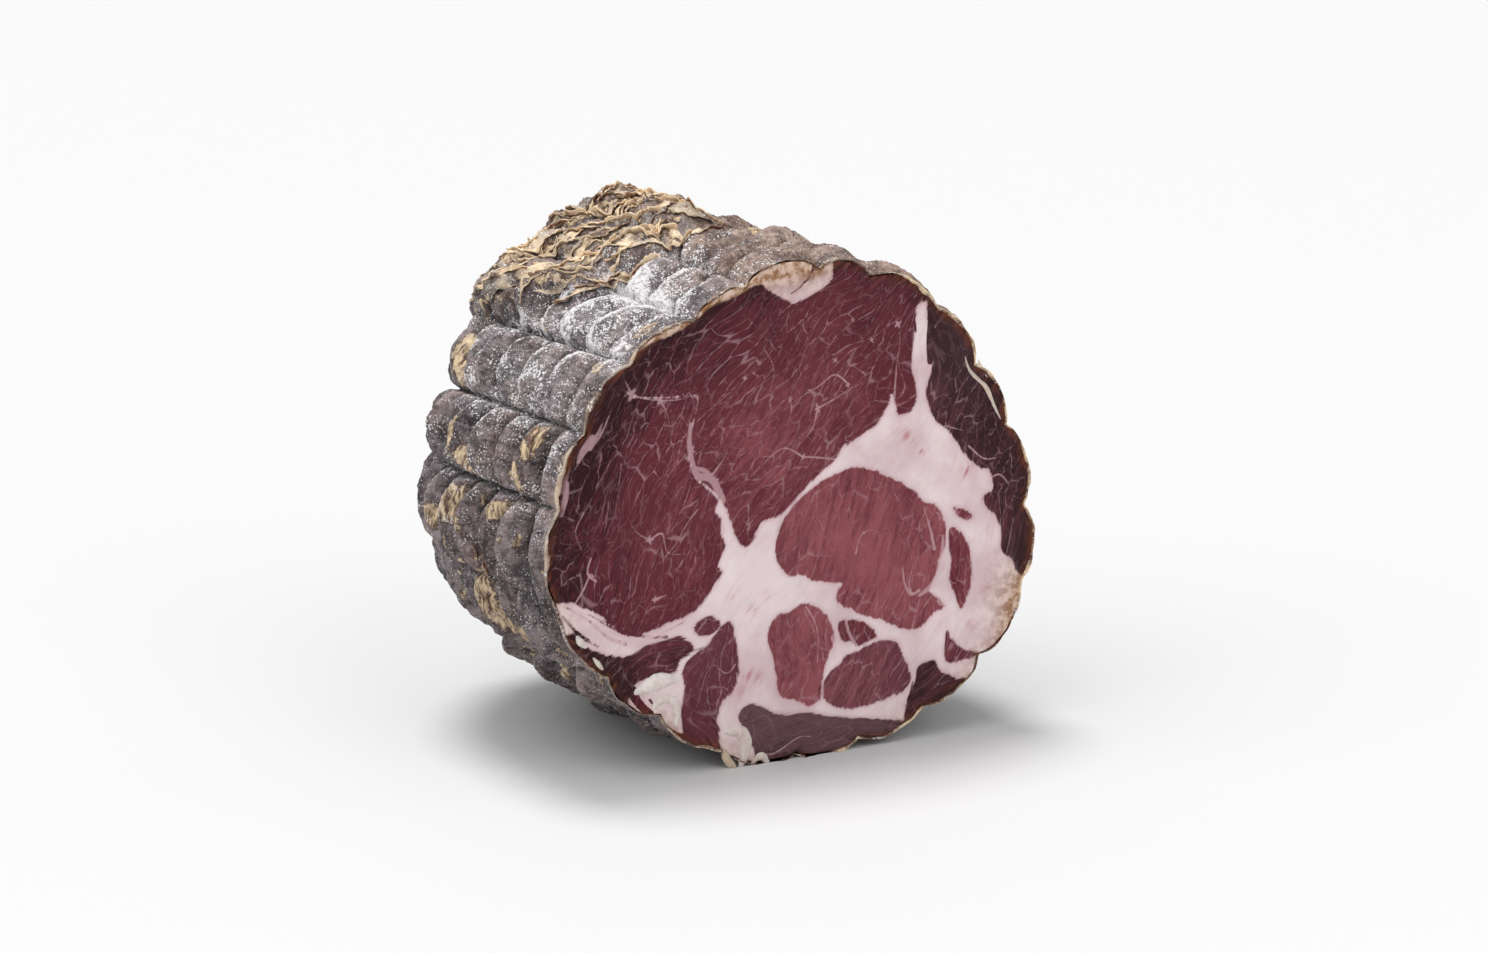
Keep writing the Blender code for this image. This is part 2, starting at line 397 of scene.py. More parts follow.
    def fold_cover(self, bearing: np.ndarray, depth: np.ndarray) -> np.ndarray:
        """How far the crumpled casing covers each place, 0 to 1."""
        bearings, fronts = (np.array(values) for values in zip(*self.fold_front))
        behind = (depth - np.interp(bearing, bearings, fronts)) / self.fold_edge
        before = (self.fold_back - depth) / self.fold_edge
        beside = np.minimum(bearing - bearings[0], bearings[-1] - bearing) / self.fold_side_edge
        return np.clip(np.minimum(np.minimum(behind, before), beside), 0.0, 1.0)

    def fold_across(self, bearing: np.ndarray, depth: np.ndarray) -> np.ndarray:
        """Distance across the slanting layers of the fold."""
        slant = math.radians(self.fold_layer_slant)
        round_skin = (bearing - self.fold_front[1][0]) * self.skin_per_degree
        return depth * math.cos(slant) - round_skin * math.sin(slant)

    def cell_height(self, spot: SkinSpot) -> np.ndarray:
        """Relief of the rows and ribs alone; it also fills in the painted shade in the grooves, on each scale's front
        side and at the gathered end.
        """
        edge_row = np.abs(2.0 * spot.across - 1.0)
        along = np.where(spot.rib < self.rib_count, spot.along, 0.0) ** self.rib_crest_set_back
        edge_rib = np.abs(2.0 * along - 1.0)
        strength = self.groove_strength(spot.row, spot.across)
        deepening = np.minimum(1.0, spot.share / self.row_deepens_over)
        rib_deepening = np.clip(spot.share / self.rib_deepens_over, 0.0, 1.0)
        row_depth = self.row_depth_at_rim + (self.row_depth - self.row_depth_at_rim) * deepening
        low_row = row_depth * strength * edge_row**self.fullness
        low_rib = self.rib_depth * rib_deepening * edge_rib**self.fullness
        low = (low_row**self.grooves_merge + low_rib**self.grooves_merge) ** (1.0 / self.grooves_merge)
        low_side = bell(turned_from(self.scale_middle, spot.bearing), 0.0, self.scale_spread)
        thread = bell(edge_rib, 1.0, self.thread_width) * rib_deepening * (1.0 + 0.9 * low_side)
        thread_row = bell(edge_row, 1.0, self.thread_width * 0.6) * deepening * strength
        puff = self.rib_unevenness * self.puff(spot.row, spot.rib) * (1.0 - edge_row**self.fullness)
        height = puff * (1.0 - edge_rib**2) - low - self.thread_bite * np.maximum(thread, thread_row)
        scales = self.scale_height * low_side * rib_deepening
        height += scales * (bell(spot.along, self.scale_crest, self.scale_crest_width) - 0.45) * (1.0 - edge_row**6)
        at_end = spot.rib >= self.rib_count
        height = np.where(at_end, height * (1.0 - spot.along) - self.dimple_depth * spot.along, height)
        # Painted shade: dark in the row and rib grooves and on the front side of each scale on the low side
        painted_scale_shade = 0.70 * smooth_step(0.36, 0.02, spot.along) * low_side
        groove = np.maximum(edge_row**12 * strength, edge_rib ** (11.0 - 5.5 * low_side))
        groove = np.maximum(groove, painted_scale_shade * (1.0 - edge_row**4))
        # Painted shade in the folds at both edges of the gathered end
        gathered = np.maximum(smooth_step(0.12, 0.0, spot.along), smooth_step(0.86, 1.0, spot.along))
        spot.groove = np.clip(np.where(at_end, gathered, groove), 0.0, 1.0) * rib_deepening
        return height

    def height(self, spot: SkinSpot) -> np.ndarray:
        """Whole relief over the smooth form, with the fold and the fine wrinkles.

        Args:
            spot: Places on the skin.

        Returns:
            Height over the smooth form, in metres.
        """
        cell = self.cell_height(spot)
        place = spot.smooth
        across = self.fold_across(spot.bearing, spot.depth)
        ridge = self.fold_lift + self.fold_layer_height * np.abs(np.cos(math.pi * across / self.fold_layer))
        spot.layer = (across / self.crumple_layer + 0.95 * self.lumps.rough(place, 0.010, 3)) % 1.0
        rise = smooth_step(0.0, 0.08, spot.layer)
        crumple = self.crumple_height * rise * (1.0 - spot.layer) ** 0.9 * (0.75 + 0.8 * self.creases.at(place, 0.009))
        fine = (across / self.crumple_fine_layer + 1.6 * self.creases.rough(place, 0.006, 2)) % 1.0
        crumple += self.crumple_fine_height * smooth_step(0.0, 0.2, fine) * (1.0 - fine)
        crumple += 0.0006 * self.creases.rough(place, 0.0030, 3)
        total = cell + spot.cover * (ridge - self.fold_covers * cell + crumple)
        arc = spot.bearing * self.skin_per_degree
        edge = np.abs(2.0 * spot.along - 1.0)
        pleat_turn = arc / self.pleat_pitch + 1.3 * self.creases.at(place, 0.006)
        on_top = bell(spot.bearing, 92.0, 34.0)
        pleat_amount = np.clip(0.25 + 0.9 * edge + 0.8 * self.lumps.at(place, 0.011), 0.0, 1.4) * (1.0 + 1.1 * on_top)
        pleats = self.pleat_height * pleat_amount * (np.abs(np.sin(math.pi * pleat_turn)) - 0.6)
        round_way = np.stack((arc / 0.0058, spot.depth / 0.0017, spot.row * 7.3), axis=1)
        crease = -self.crease_height * self.creases.ridges(round_way, 1.0) ** 3
        lumps = self.lump_height * self.lumps.rough(place, 0.0045, 2)
        grain = self.grain_height * self.grain.rough(place, 0.0013, 3)
        behind_rim = np.minimum(1.0, spot.depth / 0.0015)
        return total + (pleats + crease) * behind_rim + lumps + grain * behind_rim

    def points(self, spot: SkinSpot, height: np.ndarray) -> np.ndarray:
        """Places in the frame, no lower than the floor.

        Args:
            spot: Places on the smooth form.
            height: Height over it at each place.

        Returns:
            One row of X, Y and Z for each place.
        """
        radius = np.maximum(spot.radius + height * spot.outward, 0.0)
        turn = np.radians(spot.bearing)
        return in_frame(radius * np.cos(turn), spot.depth + height * spot.backward, radius * np.sin(turn))

    def rim_radius(self, bearing: np.ndarray) -> np.ndarray:
        """Radius of the torn rim round the cut face."""
        rows = self.rows_of(bearing % 360.0)
        spot = self.spot(rows, np.full(len(rows), self.first_rib_cut_at))
        return spot.radius + self.height(spot)

    def ribs_at(self, bearing: np.ndarray, depth: np.ndarray) -> np.ndarray:
        """Running rib number at a bearing and a depth, near enough to set small pieces down."""
        ribs = np.linspace(self.first_rib_cut_at, self.rib_count, 120)
        found = np.empty(len(bearing))
        for index, (turn, back) in enumerate(zip(bearing, depth)):
            line = self.spot(np.full(len(ribs), self.rows_of(np.array([turn % 360.0]))[0]), ribs).depth
            found[index] = np.interp(back, line, ribs)
        return found


class Modeller:
    """Blender steps that every piece shares."""

    @staticmethod
    def grid(name: str, columns: int, rows: int) -> tuple[bpy.types.Object, np.ndarray]:
        """Add a grid primitive.

        Args:
            name: Name of the piece.
            columns: Faces along its X.
            rows: Faces along its Y.

        Returns:
            The object, and each vertex's share along X and Y.
        """
        bpy.ops.object.select_all(action="DESELECT")
        bpy.ops.mesh.primitive_grid_add(x_subdivisions=columns, y_subdivisions=rows, size=2.0)
        piece = bpy.context.object
        piece.name = piece.data.name = name
        share = (Modeller.places(piece)[:, :2] + 1.0) / 2.0
        return piece, np.round(share * (columns, rows)) / (columns, rows)

    @staticmethod
    def places(piece: bpy.types.Object) -> np.ndarray:
        """Places of a piece's vertices, one row each."""
        flat = np.empty(len(piece.data.vertices) * 3)
        piece.data.vertices.foreach_get("co", flat)
        return flat.reshape(-1, 3)

    @staticmethod
    def move(piece: bpy.types.Object, places: np.ndarray) -> None:
        """Put every vertex at its place."""
        piece.data.vertices.foreach_set("co", places.astype(np.float32).ravel())
        piece.data.update()

    @staticmethod
    def paint(piece: bpy.types.Object, name: str, values: np.ndarray) -> None:
        """Store one number for each vertex."""
        layer = piece.data.attributes.new(name, "FLOAT", "POINT")
        layer.data.foreach_set("value", values.astype(np.float32))

    @staticmethod
    def paint_vector(piece: bpy.types.Object, name: str, values: np.ndarray) -> None:
        """Store one vector for each vertex."""
        layer = piece.data.attributes.new(name, "FLOAT_VECTOR", "POINT")
        layer.data.foreach_set("vector", values.astype(np.float32).ravel())

    @staticmethod
    def unwrap(piece: bpy.types.Object, share: np.ndarray) -> None:
        """Lay the piece out flat from each vertex's shares, filling the map."""
        mesh = piece.data
        layer = mesh.uv_layers.new(name="OFBake")
        corner = np.empty(len(mesh.loops), dtype=np.int32)
        mesh.loops.foreach_get("vertex_index", corner)
        layer.data.foreach_set("uv", share[corner].astype(np.float32).ravel())

    @staticmethod
    def repeat(piece: bpy.types.Object, places: list[np.ndarray] | np.ndarray) -> None:
        """Lay a copy of a piece's faces over each set of places, and join the copies.

        Args:
            piece: Piece that holds one copy.
            places: Places of each copy's vertices.
        """
        faces = np.array([polygon.vertices[:] for polygon in piece.data.polygons])
        numbers = faces[None, :, :] + (np.arange(len(places)) * len(places[0]))[:, None, None]
        mesh = bpy.data.meshes.new(piece.name)
        mesh.from_pydata(np.vstack(places).tolist(), [], numbers.reshape(-1, faces.shape[1]).tolist())
        old, piece.data = piece.data, mesh
        bpy.data.meshes.remove(old)

    @staticmethod
    def close_seams(piece: bpy.types.Object) -> None:
        """Join vertices that lie on each other, where a sheet was bent round to meet itself."""
        bpy.context.view_layer.objects.active = piece
        bpy.ops.object.mode_set(mode="EDIT")
        bpy.ops.mesh.select_all(action="SELECT")
        bpy.ops.mesh.remove_doubles(threshold=1e-7)
        bpy.ops.object.mode_set(mode="OBJECT")

    @staticmethod
    def finish(piece: bpy.types.Object, material: bpy.types.Material) -> bpy.types.Object:
        """Shade a piece smooth, dress it and tie it to the frame."""
        piece.data.materials.clear()
        piece.data.materials.append(material)
        piece.data.shade_smooth()
        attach(piece, "root")
        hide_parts(NODE)
        LOG.info("%s: %d faces", piece.name, len(piece.data.polygons))
        return piece


def srgb(red: float, green: float, blue: float) -> tuple[float, float, float, float]:
    """Turn an 8-bit screen colour into a scene-linear one."""
    shares = (value / 255.0 for value in (red, green, blue))
    return (*(s / 12.92 if s <= 0.04045 else ((s + 0.055) / 1.055) ** 2.4 for s in shares), 1.0)


@dataclass(frozen=True)
class Value:
    """A shader socket to reckon with: each sign lays a math node."""

    lay: Tree
    socket: bpy.types.NodeSocket

    def __add__(self, other: object) -> Value:
        """Lay a sum."""
        return self.lay.math("ADD", self, other)

    def __sub__(self, other: object) -> Value:
        """Lay a difference."""
        return self.lay.math("SUBTRACT", self, other)

    def __mul__(self, other: object) -> Value:
        """Lay a product."""
        return self.lay.math("MULTIPLY", self, other)

    def span(self, low: object, high: object, to_low: float = 0.0, to_high: float = 1.0) -> Value:
        """Ease the value from one range to another."""
        made = self.lay.node("ShaderNodeMapRange", interpolation_type="SMOOTHSTEP")
        return self.lay.put(made, "Result", Value=self, From_Min=low, From_Max=high, To_Min=to_low, To_Max=to_high)


@dataclass(frozen=True)
class Tree:
    """Short ways to lay and link shader nodes in one node tree."""

    tree: bpy.types.NodeTree

    def node(self, kind: str, **settings: object) -> bpy.types.Node:
        """Add a node and set its properties."""
        made = self.tree.nodes.new(kind)
        for name, value in settings.items():
            setattr(made, name, value)
        return made

    def feed(self, socket: bpy.types.NodeSocket, value: object) -> None:
        """Link a socket, or set its value."""
        if isinstance(value, Value):
            self.tree.links.new(value.socket, socket)
        else:
            socket.default_value = value

    def put(self, node: bpy.types.Node, output: str | int, **inputs: object) -> Value:
        """Feed a node's inputs by name and take one of its outputs."""
        for name, value in inputs.items():
            self.feed(node.inputs[name.replace("_", " ")], value)
        return Value(self, node.outputs[output])

    def attribute(self, name: str, output: str = "Fac") -> Value:
        """Read a painted number or vector."""
        return self.put(self.node("ShaderNodeAttribute", attribute_name=name), output)

    def coordinates(self) -> Value:
        """Object coordinates, which are the frame's own."""
        return self.put(self.node("ShaderNodeTexCoord"), "Object")

    def math(self, operation: str, *values: object, kind: str = "ShaderNodeMath") -> Value:
        """Add a math node and feed its inputs in order."""
        made = self.node(kind, operation=operation)
        for socket, value in zip(made.inputs, values):
            self.feed(socket, value)
        return Value(self, made.outputs[0])

    def vectors(self, operation: str, *values: object) -> Value:
        """Add a math node for vectors."""
        return self.math(operation, *values, kind="ShaderNodeVectorMath")

    def noise(self, vector: Value, scale: object, detail: float = 3.0, rough: float = 0.55) -> Value:
        """Noise, about 0.2 to 0.8, of one scale or of one for each axis."""
        if isinstance(scale, tuple):
            vector, scale = self.vectors("MULTIPLY", vector, scale), 1.0
        made = self.node("ShaderNodeTexNoise")
        return self.put(made, "Fac", Vector=vector, Scale=scale, Detail=detail, Roughness=rough)

    def warped(self, vector: Value, scale: float, amount: float) -> Value:
        """Push a vector about by noise."""
        noise = self.put(self.node("ShaderNodeTexNoise"), "Color", Vector=vector, Scale=scale)
        centred = self.vectors("SUBTRACT", noise, (0.5, 0.5, 0.5))
        return self.vectors("ADD", vector, self.vectors("MULTIPLY", centred, (amount, amount, amount)))

    def cells(self, vector: Value, scale: tuple[float, float, float], output: str) -> Value:
        """Flat Voronoi cells: the distance from their edges, or a colour for each."""
        feature = "DISTANCE_TO_EDGE" if output == "Distance" else "F1"
        made = self.node("ShaderNodeTexVoronoi", voronoi_dimensions="2D", feature=feature)
        return self.put(made, output, Vector=self.vectors("MULTIPLY", vector, scale), Scale=1.0)

    def mix(self, share: object, first: object, second: object) -> Value:
        """Mix two colours, each a value or an 8-bit screen colour."""
        made = self.node("ShaderNodeMix", data_type="RGBA")
        self.feed(made.inputs["Factor"], share)
        for number, colour in ((6, first), (7, second)):
            self.feed(made.inputs[number], srgb(*colour) if isinstance(colour, tuple) else colour)
        return Value(self, made.outputs[2])

    def group(self, tree: bpy.types.NodeTree, **inputs: Value) -> Value:
        """Place a group, feed its named inputs and take its value."""
        return self.put(self.node("ShaderNodeGroup", node_tree=tree), 0, **inputs)


@dataclass
class Effects:
    """Node groups that several finishes share, built once."""

    marbling: bpy.types.NodeTree = field(init=False)
    speckle: bpy.types.NodeTree = field(init=False)
    mottle: bpy.types.NodeTree = field(init=False)
    relief: bpy.types.NodeTree = field(init=False)

    def __post_init__(self) -> None:
        """Build the groups."""
        self.marbling = self.group("marbling", "Mask", self.net_of_fat, Vector="Vector")
        self.speckle = self.group("mould_specks", "Mask", self.specks, Vector="Vector", Coverage="Float")
        self.mottle = self.group("uneven_tone", "Tone", self.uneven, Vector="Vector")
        self.relief = self.group("dry_grain", "Height", self.grain, Vector="Vector")

    @staticmethod
    def group(name: str, output: str, rule: Callable[..., Value], **inputs: str) -> bpy.types.NodeTree:
        """Build a group with named sockets.

        Args:
            name: Name of the group.
            output: Name of the single value it puts out.
            rule: Lays the nodes, given the node helper and the inputs.
            inputs: Kind of each named input.

        Returns:
            The group.
        """
        tree = bpy.data.node_groups.new(name, "ShaderNodeTree")
        for socket, kind in inputs.items():
            tree.interface.new_socket(socket, in_out="INPUT", socket_type=f"NodeSocket{kind}")
        tree.interface.new_socket(output, in_out="OUTPUT", socket_type="NodeSocketFloat")
        lay, given = Tree(tree), tree.nodes.new("NodeGroupInput")
        value = rule(lay, *(Value(lay, given.outputs[socket]) for socket in inputs))
        lay.feed(tree.nodes.new("NodeGroupOutput").inputs[0], value)
        return tree

    @staticmethod
    def net_of_fat(lay: Tree, vector: Value) -> Value:
        """Broken net of thin fat between the bundles of fibre; the vector runs along the fibres."""
        bent = lay.warped(vector, 240.0, 0.0024)
        wide = lay.cells(bent, (140.0, 420.0, 1.0), "Distance")
        fine = lay.cells(lay.warped(bent, 900.0, 0.0006), (330.0, 900.0, 1.0), "Distance")
        patch = lay.noise(bent, 110.0, 2.0)
        gap = lay.noise(bent, 560.0, 3.0, 0.6)
        width = gap.span(0.40, 0.66, 0.012, 0.12)
        net = wide.span(0.0, width, 1.0, 0.0) * patch.span(0.36, 0.60, 0.22, 1.0)
        return lay.math("MAXIMUM", net, fine.span(0.0, 0.09, 1.0, 0.0) * gap.span(0.40, 0.60, 0.0, 0.36))

    @staticmethod
    def specks(lay: Tree, vector: Value, coverage: Value) -> Value:
        """Powder and single grains, denser where the coverage is higher."""
        grain = lay.noise(vector, 4200.0, 2.0, 0.6) * 0.5 + lay.noise(vector, 900.0, 3.0, 0.7) * 0.5
        powder = (grain + coverage * 0.22 - 0.66).span(-0.015, 0.04)
        cluster = lay.noise(vector, 420.0, 3.0, 0.6)
        radius = cluster.span(0.38, 0.62, 0.18, 0.54) * coverage.span(0.0, 0.5, 0.5, 1.0)
        dots = lay.node("ShaderNodeTexVoronoi", voronoi_dimensions="3D", feature="F1")
        grains = (lay.put(dots, "Distance", Vector=vector, Scale=1900.0) - radius).span(0.02, -0.08)
        return lay.math("MAXIMUM", powder, grains * 0.95)

    @staticmethod
    def uneven(lay: Tree, vector: Value) -> Value:
        """Uneven tone at three sizes, 0 to 1."""
        large, small = lay.noise(vector, 70.0, 2.0), lay.noise(vector, 1700.0, 2.0)
        return (large * 0.35 + lay.noise(vector, 330.0, 4.0, 0.6) * 0.40 + small * 0.25).span(0.36, 0.66)

    @staticmethod
    def grain(lay: Tree, vector: Value) -> Value:
        """Fine dry grain for the height of a bump."""
        return lay.noise(vector, 900.0, 4.0, 0.6) * 0.7 + lay.noise(vector, 3000.0, 2.0, 0.6) * 0.3


@dataclass(frozen=True)
class Finish:
    """A Principled finish with constant sockets of its own."""

    name: str
    roughness: float
    specular: float
    subsurface: float = 0.0
    subsurface_radius: tuple[float, float, float] = (0.0030, 0.0012, 0.0008)
    bump_distance: float = 0.00015
    bump_strength: float = 0.6

    def build(self, effects: Effects) -> bpy.types.Material:
        """Make the material.

        Args:
            effects: The shared node groups.

        Returns:
            The material, with its constants set and what it paints linked.
        """
        material = bpy.data.materials.new(self.name)
        material.use_nodes = True
        lay = Tree(material.node_tree)
        values = {
            "Roughness": self.roughness, "Specular IOR Level": self.specular, "Subsurface Weight": self.subsurface,
            "Subsurface Radius": self.subsurface_radius, "Subsurface Scale": 1.0, **self.paint(lay, effects),
        }
        if "Height" in values:
            bump = {"Height": values.pop("Height"), "Distance": self.bump_distance, "Strength": self.bump_strength}
            values["Normal"] = lay.put(lay.node("ShaderNodeBump"), "Normal", **bump)
        for name, value in values.items():
            lay.feed(material.node_tree.nodes["Principled BSDF"].inputs[name], value)
        return material

    def paint(self, lay: Tree, effects: Effects) -> dict[str, Value]:
        """Lay what changes over the piece, under the names of the shader's sockets, and the bump's height."""
        raise NotImplementedError


@dataclass(frozen=True)
class MeatFinish(Finish):
    """Lean and fat of the cut face."""

    name: str = "cut_meat"
    roughness: float = 0.48
    specular: float = 0.14
    subsurface: float = 0.10
    bump_distance: float = 0.00014
    bump_strength: float = 0.55

    def paint(self, lay: Tree, effects: Effects) -> dict[str, Value]:
        """Lay muscles, veins and fibres."""
        place, fibre = lay.coordinates(), lay.attribute("fibre", "Vector")
        grey, painted_vein, fatness = lay.attribute("grey"), lay.attribute("vein"), lay.attribute("fat")
        streak = lay.noise(fibre, (130.0, 950.0, 300.0), 4.0, 0.62)
        hair = lay.noise(fibre, (700.0, 4200.0, 800.0), 2.0, 0.6)
        bundle = lay.cells(lay.warped(fibre, 260.0, 0.0018), (150.0, 420.0, 1.0), "Color")
        tone = lay.attribute("tone") + (streak - 0.5) * 0.85 + (hair - 0.5) * 0.50 + (bundle - 0.5) * 0.16
        dark = lay.mix(grey, (44, 8, 15), (60, 41, 46))
        middle = lay.mix(grey, (97, 36, 45), (102, 76, 83))
        pale = lay.mix(grey, (150, 80, 87), (128, 100, 106))
        lean = lay.mix(tone.span(0.5, 1.05), lay.mix(tone.span(0.0, 0.5), dark, middle), pale)
        ragged = lay.noise(fibre, (520.0, 1900.0, 400.0), 4.0, 0.68)
        rough = ragged - 0.5
        net = lay.group(effects.marbling, Vector=fibre) * lay.attribute("marbled")
        vein = (painted_vein + rough * 1.3).span(0.28, 1.0) * painted_vein.span(0.0, 0.5)
        wisp = lay.attribute("wisp") * ragged.span(0.40, 0.62, 0.0, 0.60)
        thin = lay.math("MAXIMUM", lay.math("MAXIMUM", net * 0.46, vein * 0.72), wisp)
        colour = lay.mix(thin, lean, (198, 160, 165))
        fat = lay.mix(lay.noise(place, 120.0, 3.0, 0.5).span(0.3, 0.7), (216, 191, 194), (238, 220, 221))
        fat = lay.mix(lay.attribute("white") * 0.75, fat, (243, 228, 229))
        fat = lay.mix(streak.span(0.48, 0.76, 0.0, 0.28), fat, (198, 158, 163))
        fat = lay.mix(fatness.span(0.9, 0.0, 0.0, 0.38), fat, (198, 150, 157))
        fat = lay.mix(lay.attribute("stain") * streak.span(0.38, 0.6), fat, (178, 84, 90))
        crumbs = lay.noise(place, 480.0, 4.0, 0.66)
        waxy = lay.mix(crumbs.span(0.42, 0.60), (150, 108, 72), (214, 182, 156))
        fat = lay.mix(lay.attribute("yellow") * crumbs.span(0.62, 0.40, 0.75, 1.0), fat, waxy)
        jagged = lay.noise(fibre, (190.0, 640.0, 200.0), 2.0, 0.55) - 0.5
        colour = lay.mix((fatness + rough * 1.15 + jagged * 1.1).span(-0.24, 0.24), colour, fat)
        colour = lay.mix(lay.attribute("crust"), colour, lay.mix(streak.span(0.35, 0.65), (44, 16, 16), (112, 58, 34)))
        return {
            # Painted shade inside the cracks
            "Base Color": lay.mix(lay.attribute("crack"), colour, (74, 32, 33)),
            "Roughness": lay.noise(place, 1100.0, 3.0, 0.7).span(0.34, 0.62, 0.30, 0.60),
            "Height": streak * 0.7 + hair * 0.5 + lay.group(effects.relief, Vector=place) * 0.6,
        }


@dataclass(frozen=True)
class CasingFinish(Finish):
    """Dry casing: grey-brown, tan where fat lies under it, dusted with white mould, with painted shade in its grooves
    and painted highlight on its raised wrinkles.
    """

    name: str = "dry_casing"
    roughness: float = 0.80
    specular: float = 0.34
    bump_distance: float = 0.00022
    bump_strength: float = 0.80

    def paint(self, lay: Tree, effects: Effects) -> dict[str, Value]:
        """Lay painted shade in the grooves, painted highlight on the raised wrinkles, tan patches and mould."""
        place, cover = lay.coordinates(), lay.attribute("mould")
        mottle, grain = lay.group(effects.mottle, Vector=place), lay.group(effects.relief, Vector=place)
        bent = lay.warped(lay.attribute("skin", "Vector"), 300.0, 0.0012)
        pleat = lay.noise(bent, (1900.0, 330.0, 1.0), 3.0, 0.62)
        wrinkle = lay.noise(bent, (330.0, 1500.0, 1.0), 4.0, 0.66)
        # Partly the casing's own mottled tone, partly painted highlight: lighter where the pleat and wrinkle noise also
        # raise the bump
        tone = mottle * 0.70 + pleat.span(0.3, 0.7) * 0.22 + wrinkle.span(0.32, 0.68) * 0.24
        body = lay.mix(tone.span(0.14, 1.0), (33, 28, 31), (138, 125, 127))
        warm = lay.mix(tone.span(0.15, 1.0), (74, 52, 45), (168, 143, 128))
        blotch = lay.noise(place, 240.0, 4.0, 0.62)
        colour = lay.mix(lay.attribute("warm") + blotch.span(0.54, 0.74, 0.0, 0.45), body, warm)
        colour = lay.mix(blotch.span(0.48, 0.32, 0.0, 0.55), colour, (44, 37, 40))
        ragged = lay.noise(place, 420.0, 4.0, 0.7) - 0.5
        tan_edge = lay.attribute("tan") + ragged * 1.7
        colour = lay.mix(tan_edge.span(0.22, 0.42, 0.0, 0.70), colour, (62, 43, 34))
        clear = tan_edge.span(0.40, 0.62)
        # Tan paler where the wrinkle noise raises the bump: painted highlight on the ridges
        colour = lay.mix(clear * 0.92, colour, lay.mix(wrinkle.span(0.36, 0.62), (84, 54, 36), (228, 202, 164)))
        # Painted shade: the groove mask darkens the grooves and the crevices under the fold's layers
        deep = lay.attribute("groove") + ragged * 0.5
        colour = lay.mix(deep.span(0.10, 0.85, 0.0, 0.85), colour, (28, 21, 22))
        colour = lay.mix(cover * 0.32, colour, (172, 166, 170))
        specks = lay.group(effects.speckle, Vector=place, Coverage=cover)
        return {
            "Base Color": lay.mix(specks * 0.88, colour, (230, 227, 228)),
            "Roughness": grain.span(0.3, 0.7, 0.50, 0.82) - clear * 0.24,
            "Height": grain * 0.6 + specks * 0.25 + pleat * 0.9 + wrinkle * (clear * 1.6 + 1.0),
        }


@dataclass(frozen=True)
class RimFinish(Finish):
    """Cut edge of the casing and loose flakes: thin, tan and slightly clear."""

    name: str = "casing_edge"
    roughness: float = 0.55
    specular: float = 0.40
    subsurface: float = 0.12

    def paint(self, lay: Tree, effects: Effects) -> dict[str, Value]:
        """Lay the painted tone, and mould on it."""
        place = lay.coordinates()
        mottle, grain = lay.group(effects.mottle, Vector=place), lay.group(effects.relief, Vector=place)
        share = lay.attribute("tone") + (mottle - 0.5) * 0.8
        colour = lay.mix(share.span(0.0, 1.0), (92, 56, 36), (240, 212, 176))
        colour = lay.mix(lay.attribute("grey"), colour, lay.mix(mottle, (62, 52, 50), (166, 150, 142)))
        specks = lay.group(effects.speckle, Vector=place, Coverage=lay.attribute("mould"))
        return {
            "Base Color": lay.mix(specks * 0.85, colour, (226, 222, 220)),
            "Roughness": grain.span(0.3, 0.7, 0.42, 0.72), "Height": grain,
        }


@dataclass(frozen=True)
class RollFinish(Finish):
    """Glossy fat and casing that curled up at the rim: milky to tan."""

    name: str = "curled_fat"
    roughness: float = 0.26
    specular: float = 0.50
    subsurface: float = 0.25
    bump_distance: float = 0.00016
    bump_strength: float = 0.5

    def paint(self, lay: Tree, effects: Effects) -> dict[str, Value]:
        """Lay the painted paleness."""
        place = lay.coordinates()
        mottle, rough = lay.group(effects.mottle, Vector=place), lay.noise(place, 520.0, 3.0, 0.62)
        dull = lay.mix(mottle, (126, 92, 60), (206, 178, 132))
        colour = lay.mix(lay.attribute("pale"), dull, lay.mix(mottle, (214, 194, 188), (240, 230, 224)))
        return {"Base Color": lay.mix(rough.span(0.56, 0.76, 0.0, 0.45), colour, (176, 130, 118)), "Height": rough}


@dataclass(frozen=True)
class MouldFinish(Finish):
    """Grains of white mould."""

    name: str = "white_mould"
    roughness: float = 0.95
    specular: float = 0.15

    def paint(self, lay: Tree, effects: Effects) -> dict[str, Value]:
        """Lay a slightly uneven white."""
        mottle = lay.group(effects.mottle, Vector=lay.coordinates())
        return {"Base Color": lay.mix(mottle, (196, 192, 192), (238, 236, 236))}


class Region(Enum):
    """Stretches of the casing, from one lengthwise groove to another, as row numbers."""

    TOP = (2, 7)
    LEFT = (7, 11)
    UNDER = (11, 16)
    RIGHT = (16, 22)


@dataclass(frozen=True)
class Patch:
    """A tan patch on a rib where fat lies under the casing: bearing, depth, half lengths round and along the skin."""

    bearing: float
    depth: float
    turn: float
    reach: float


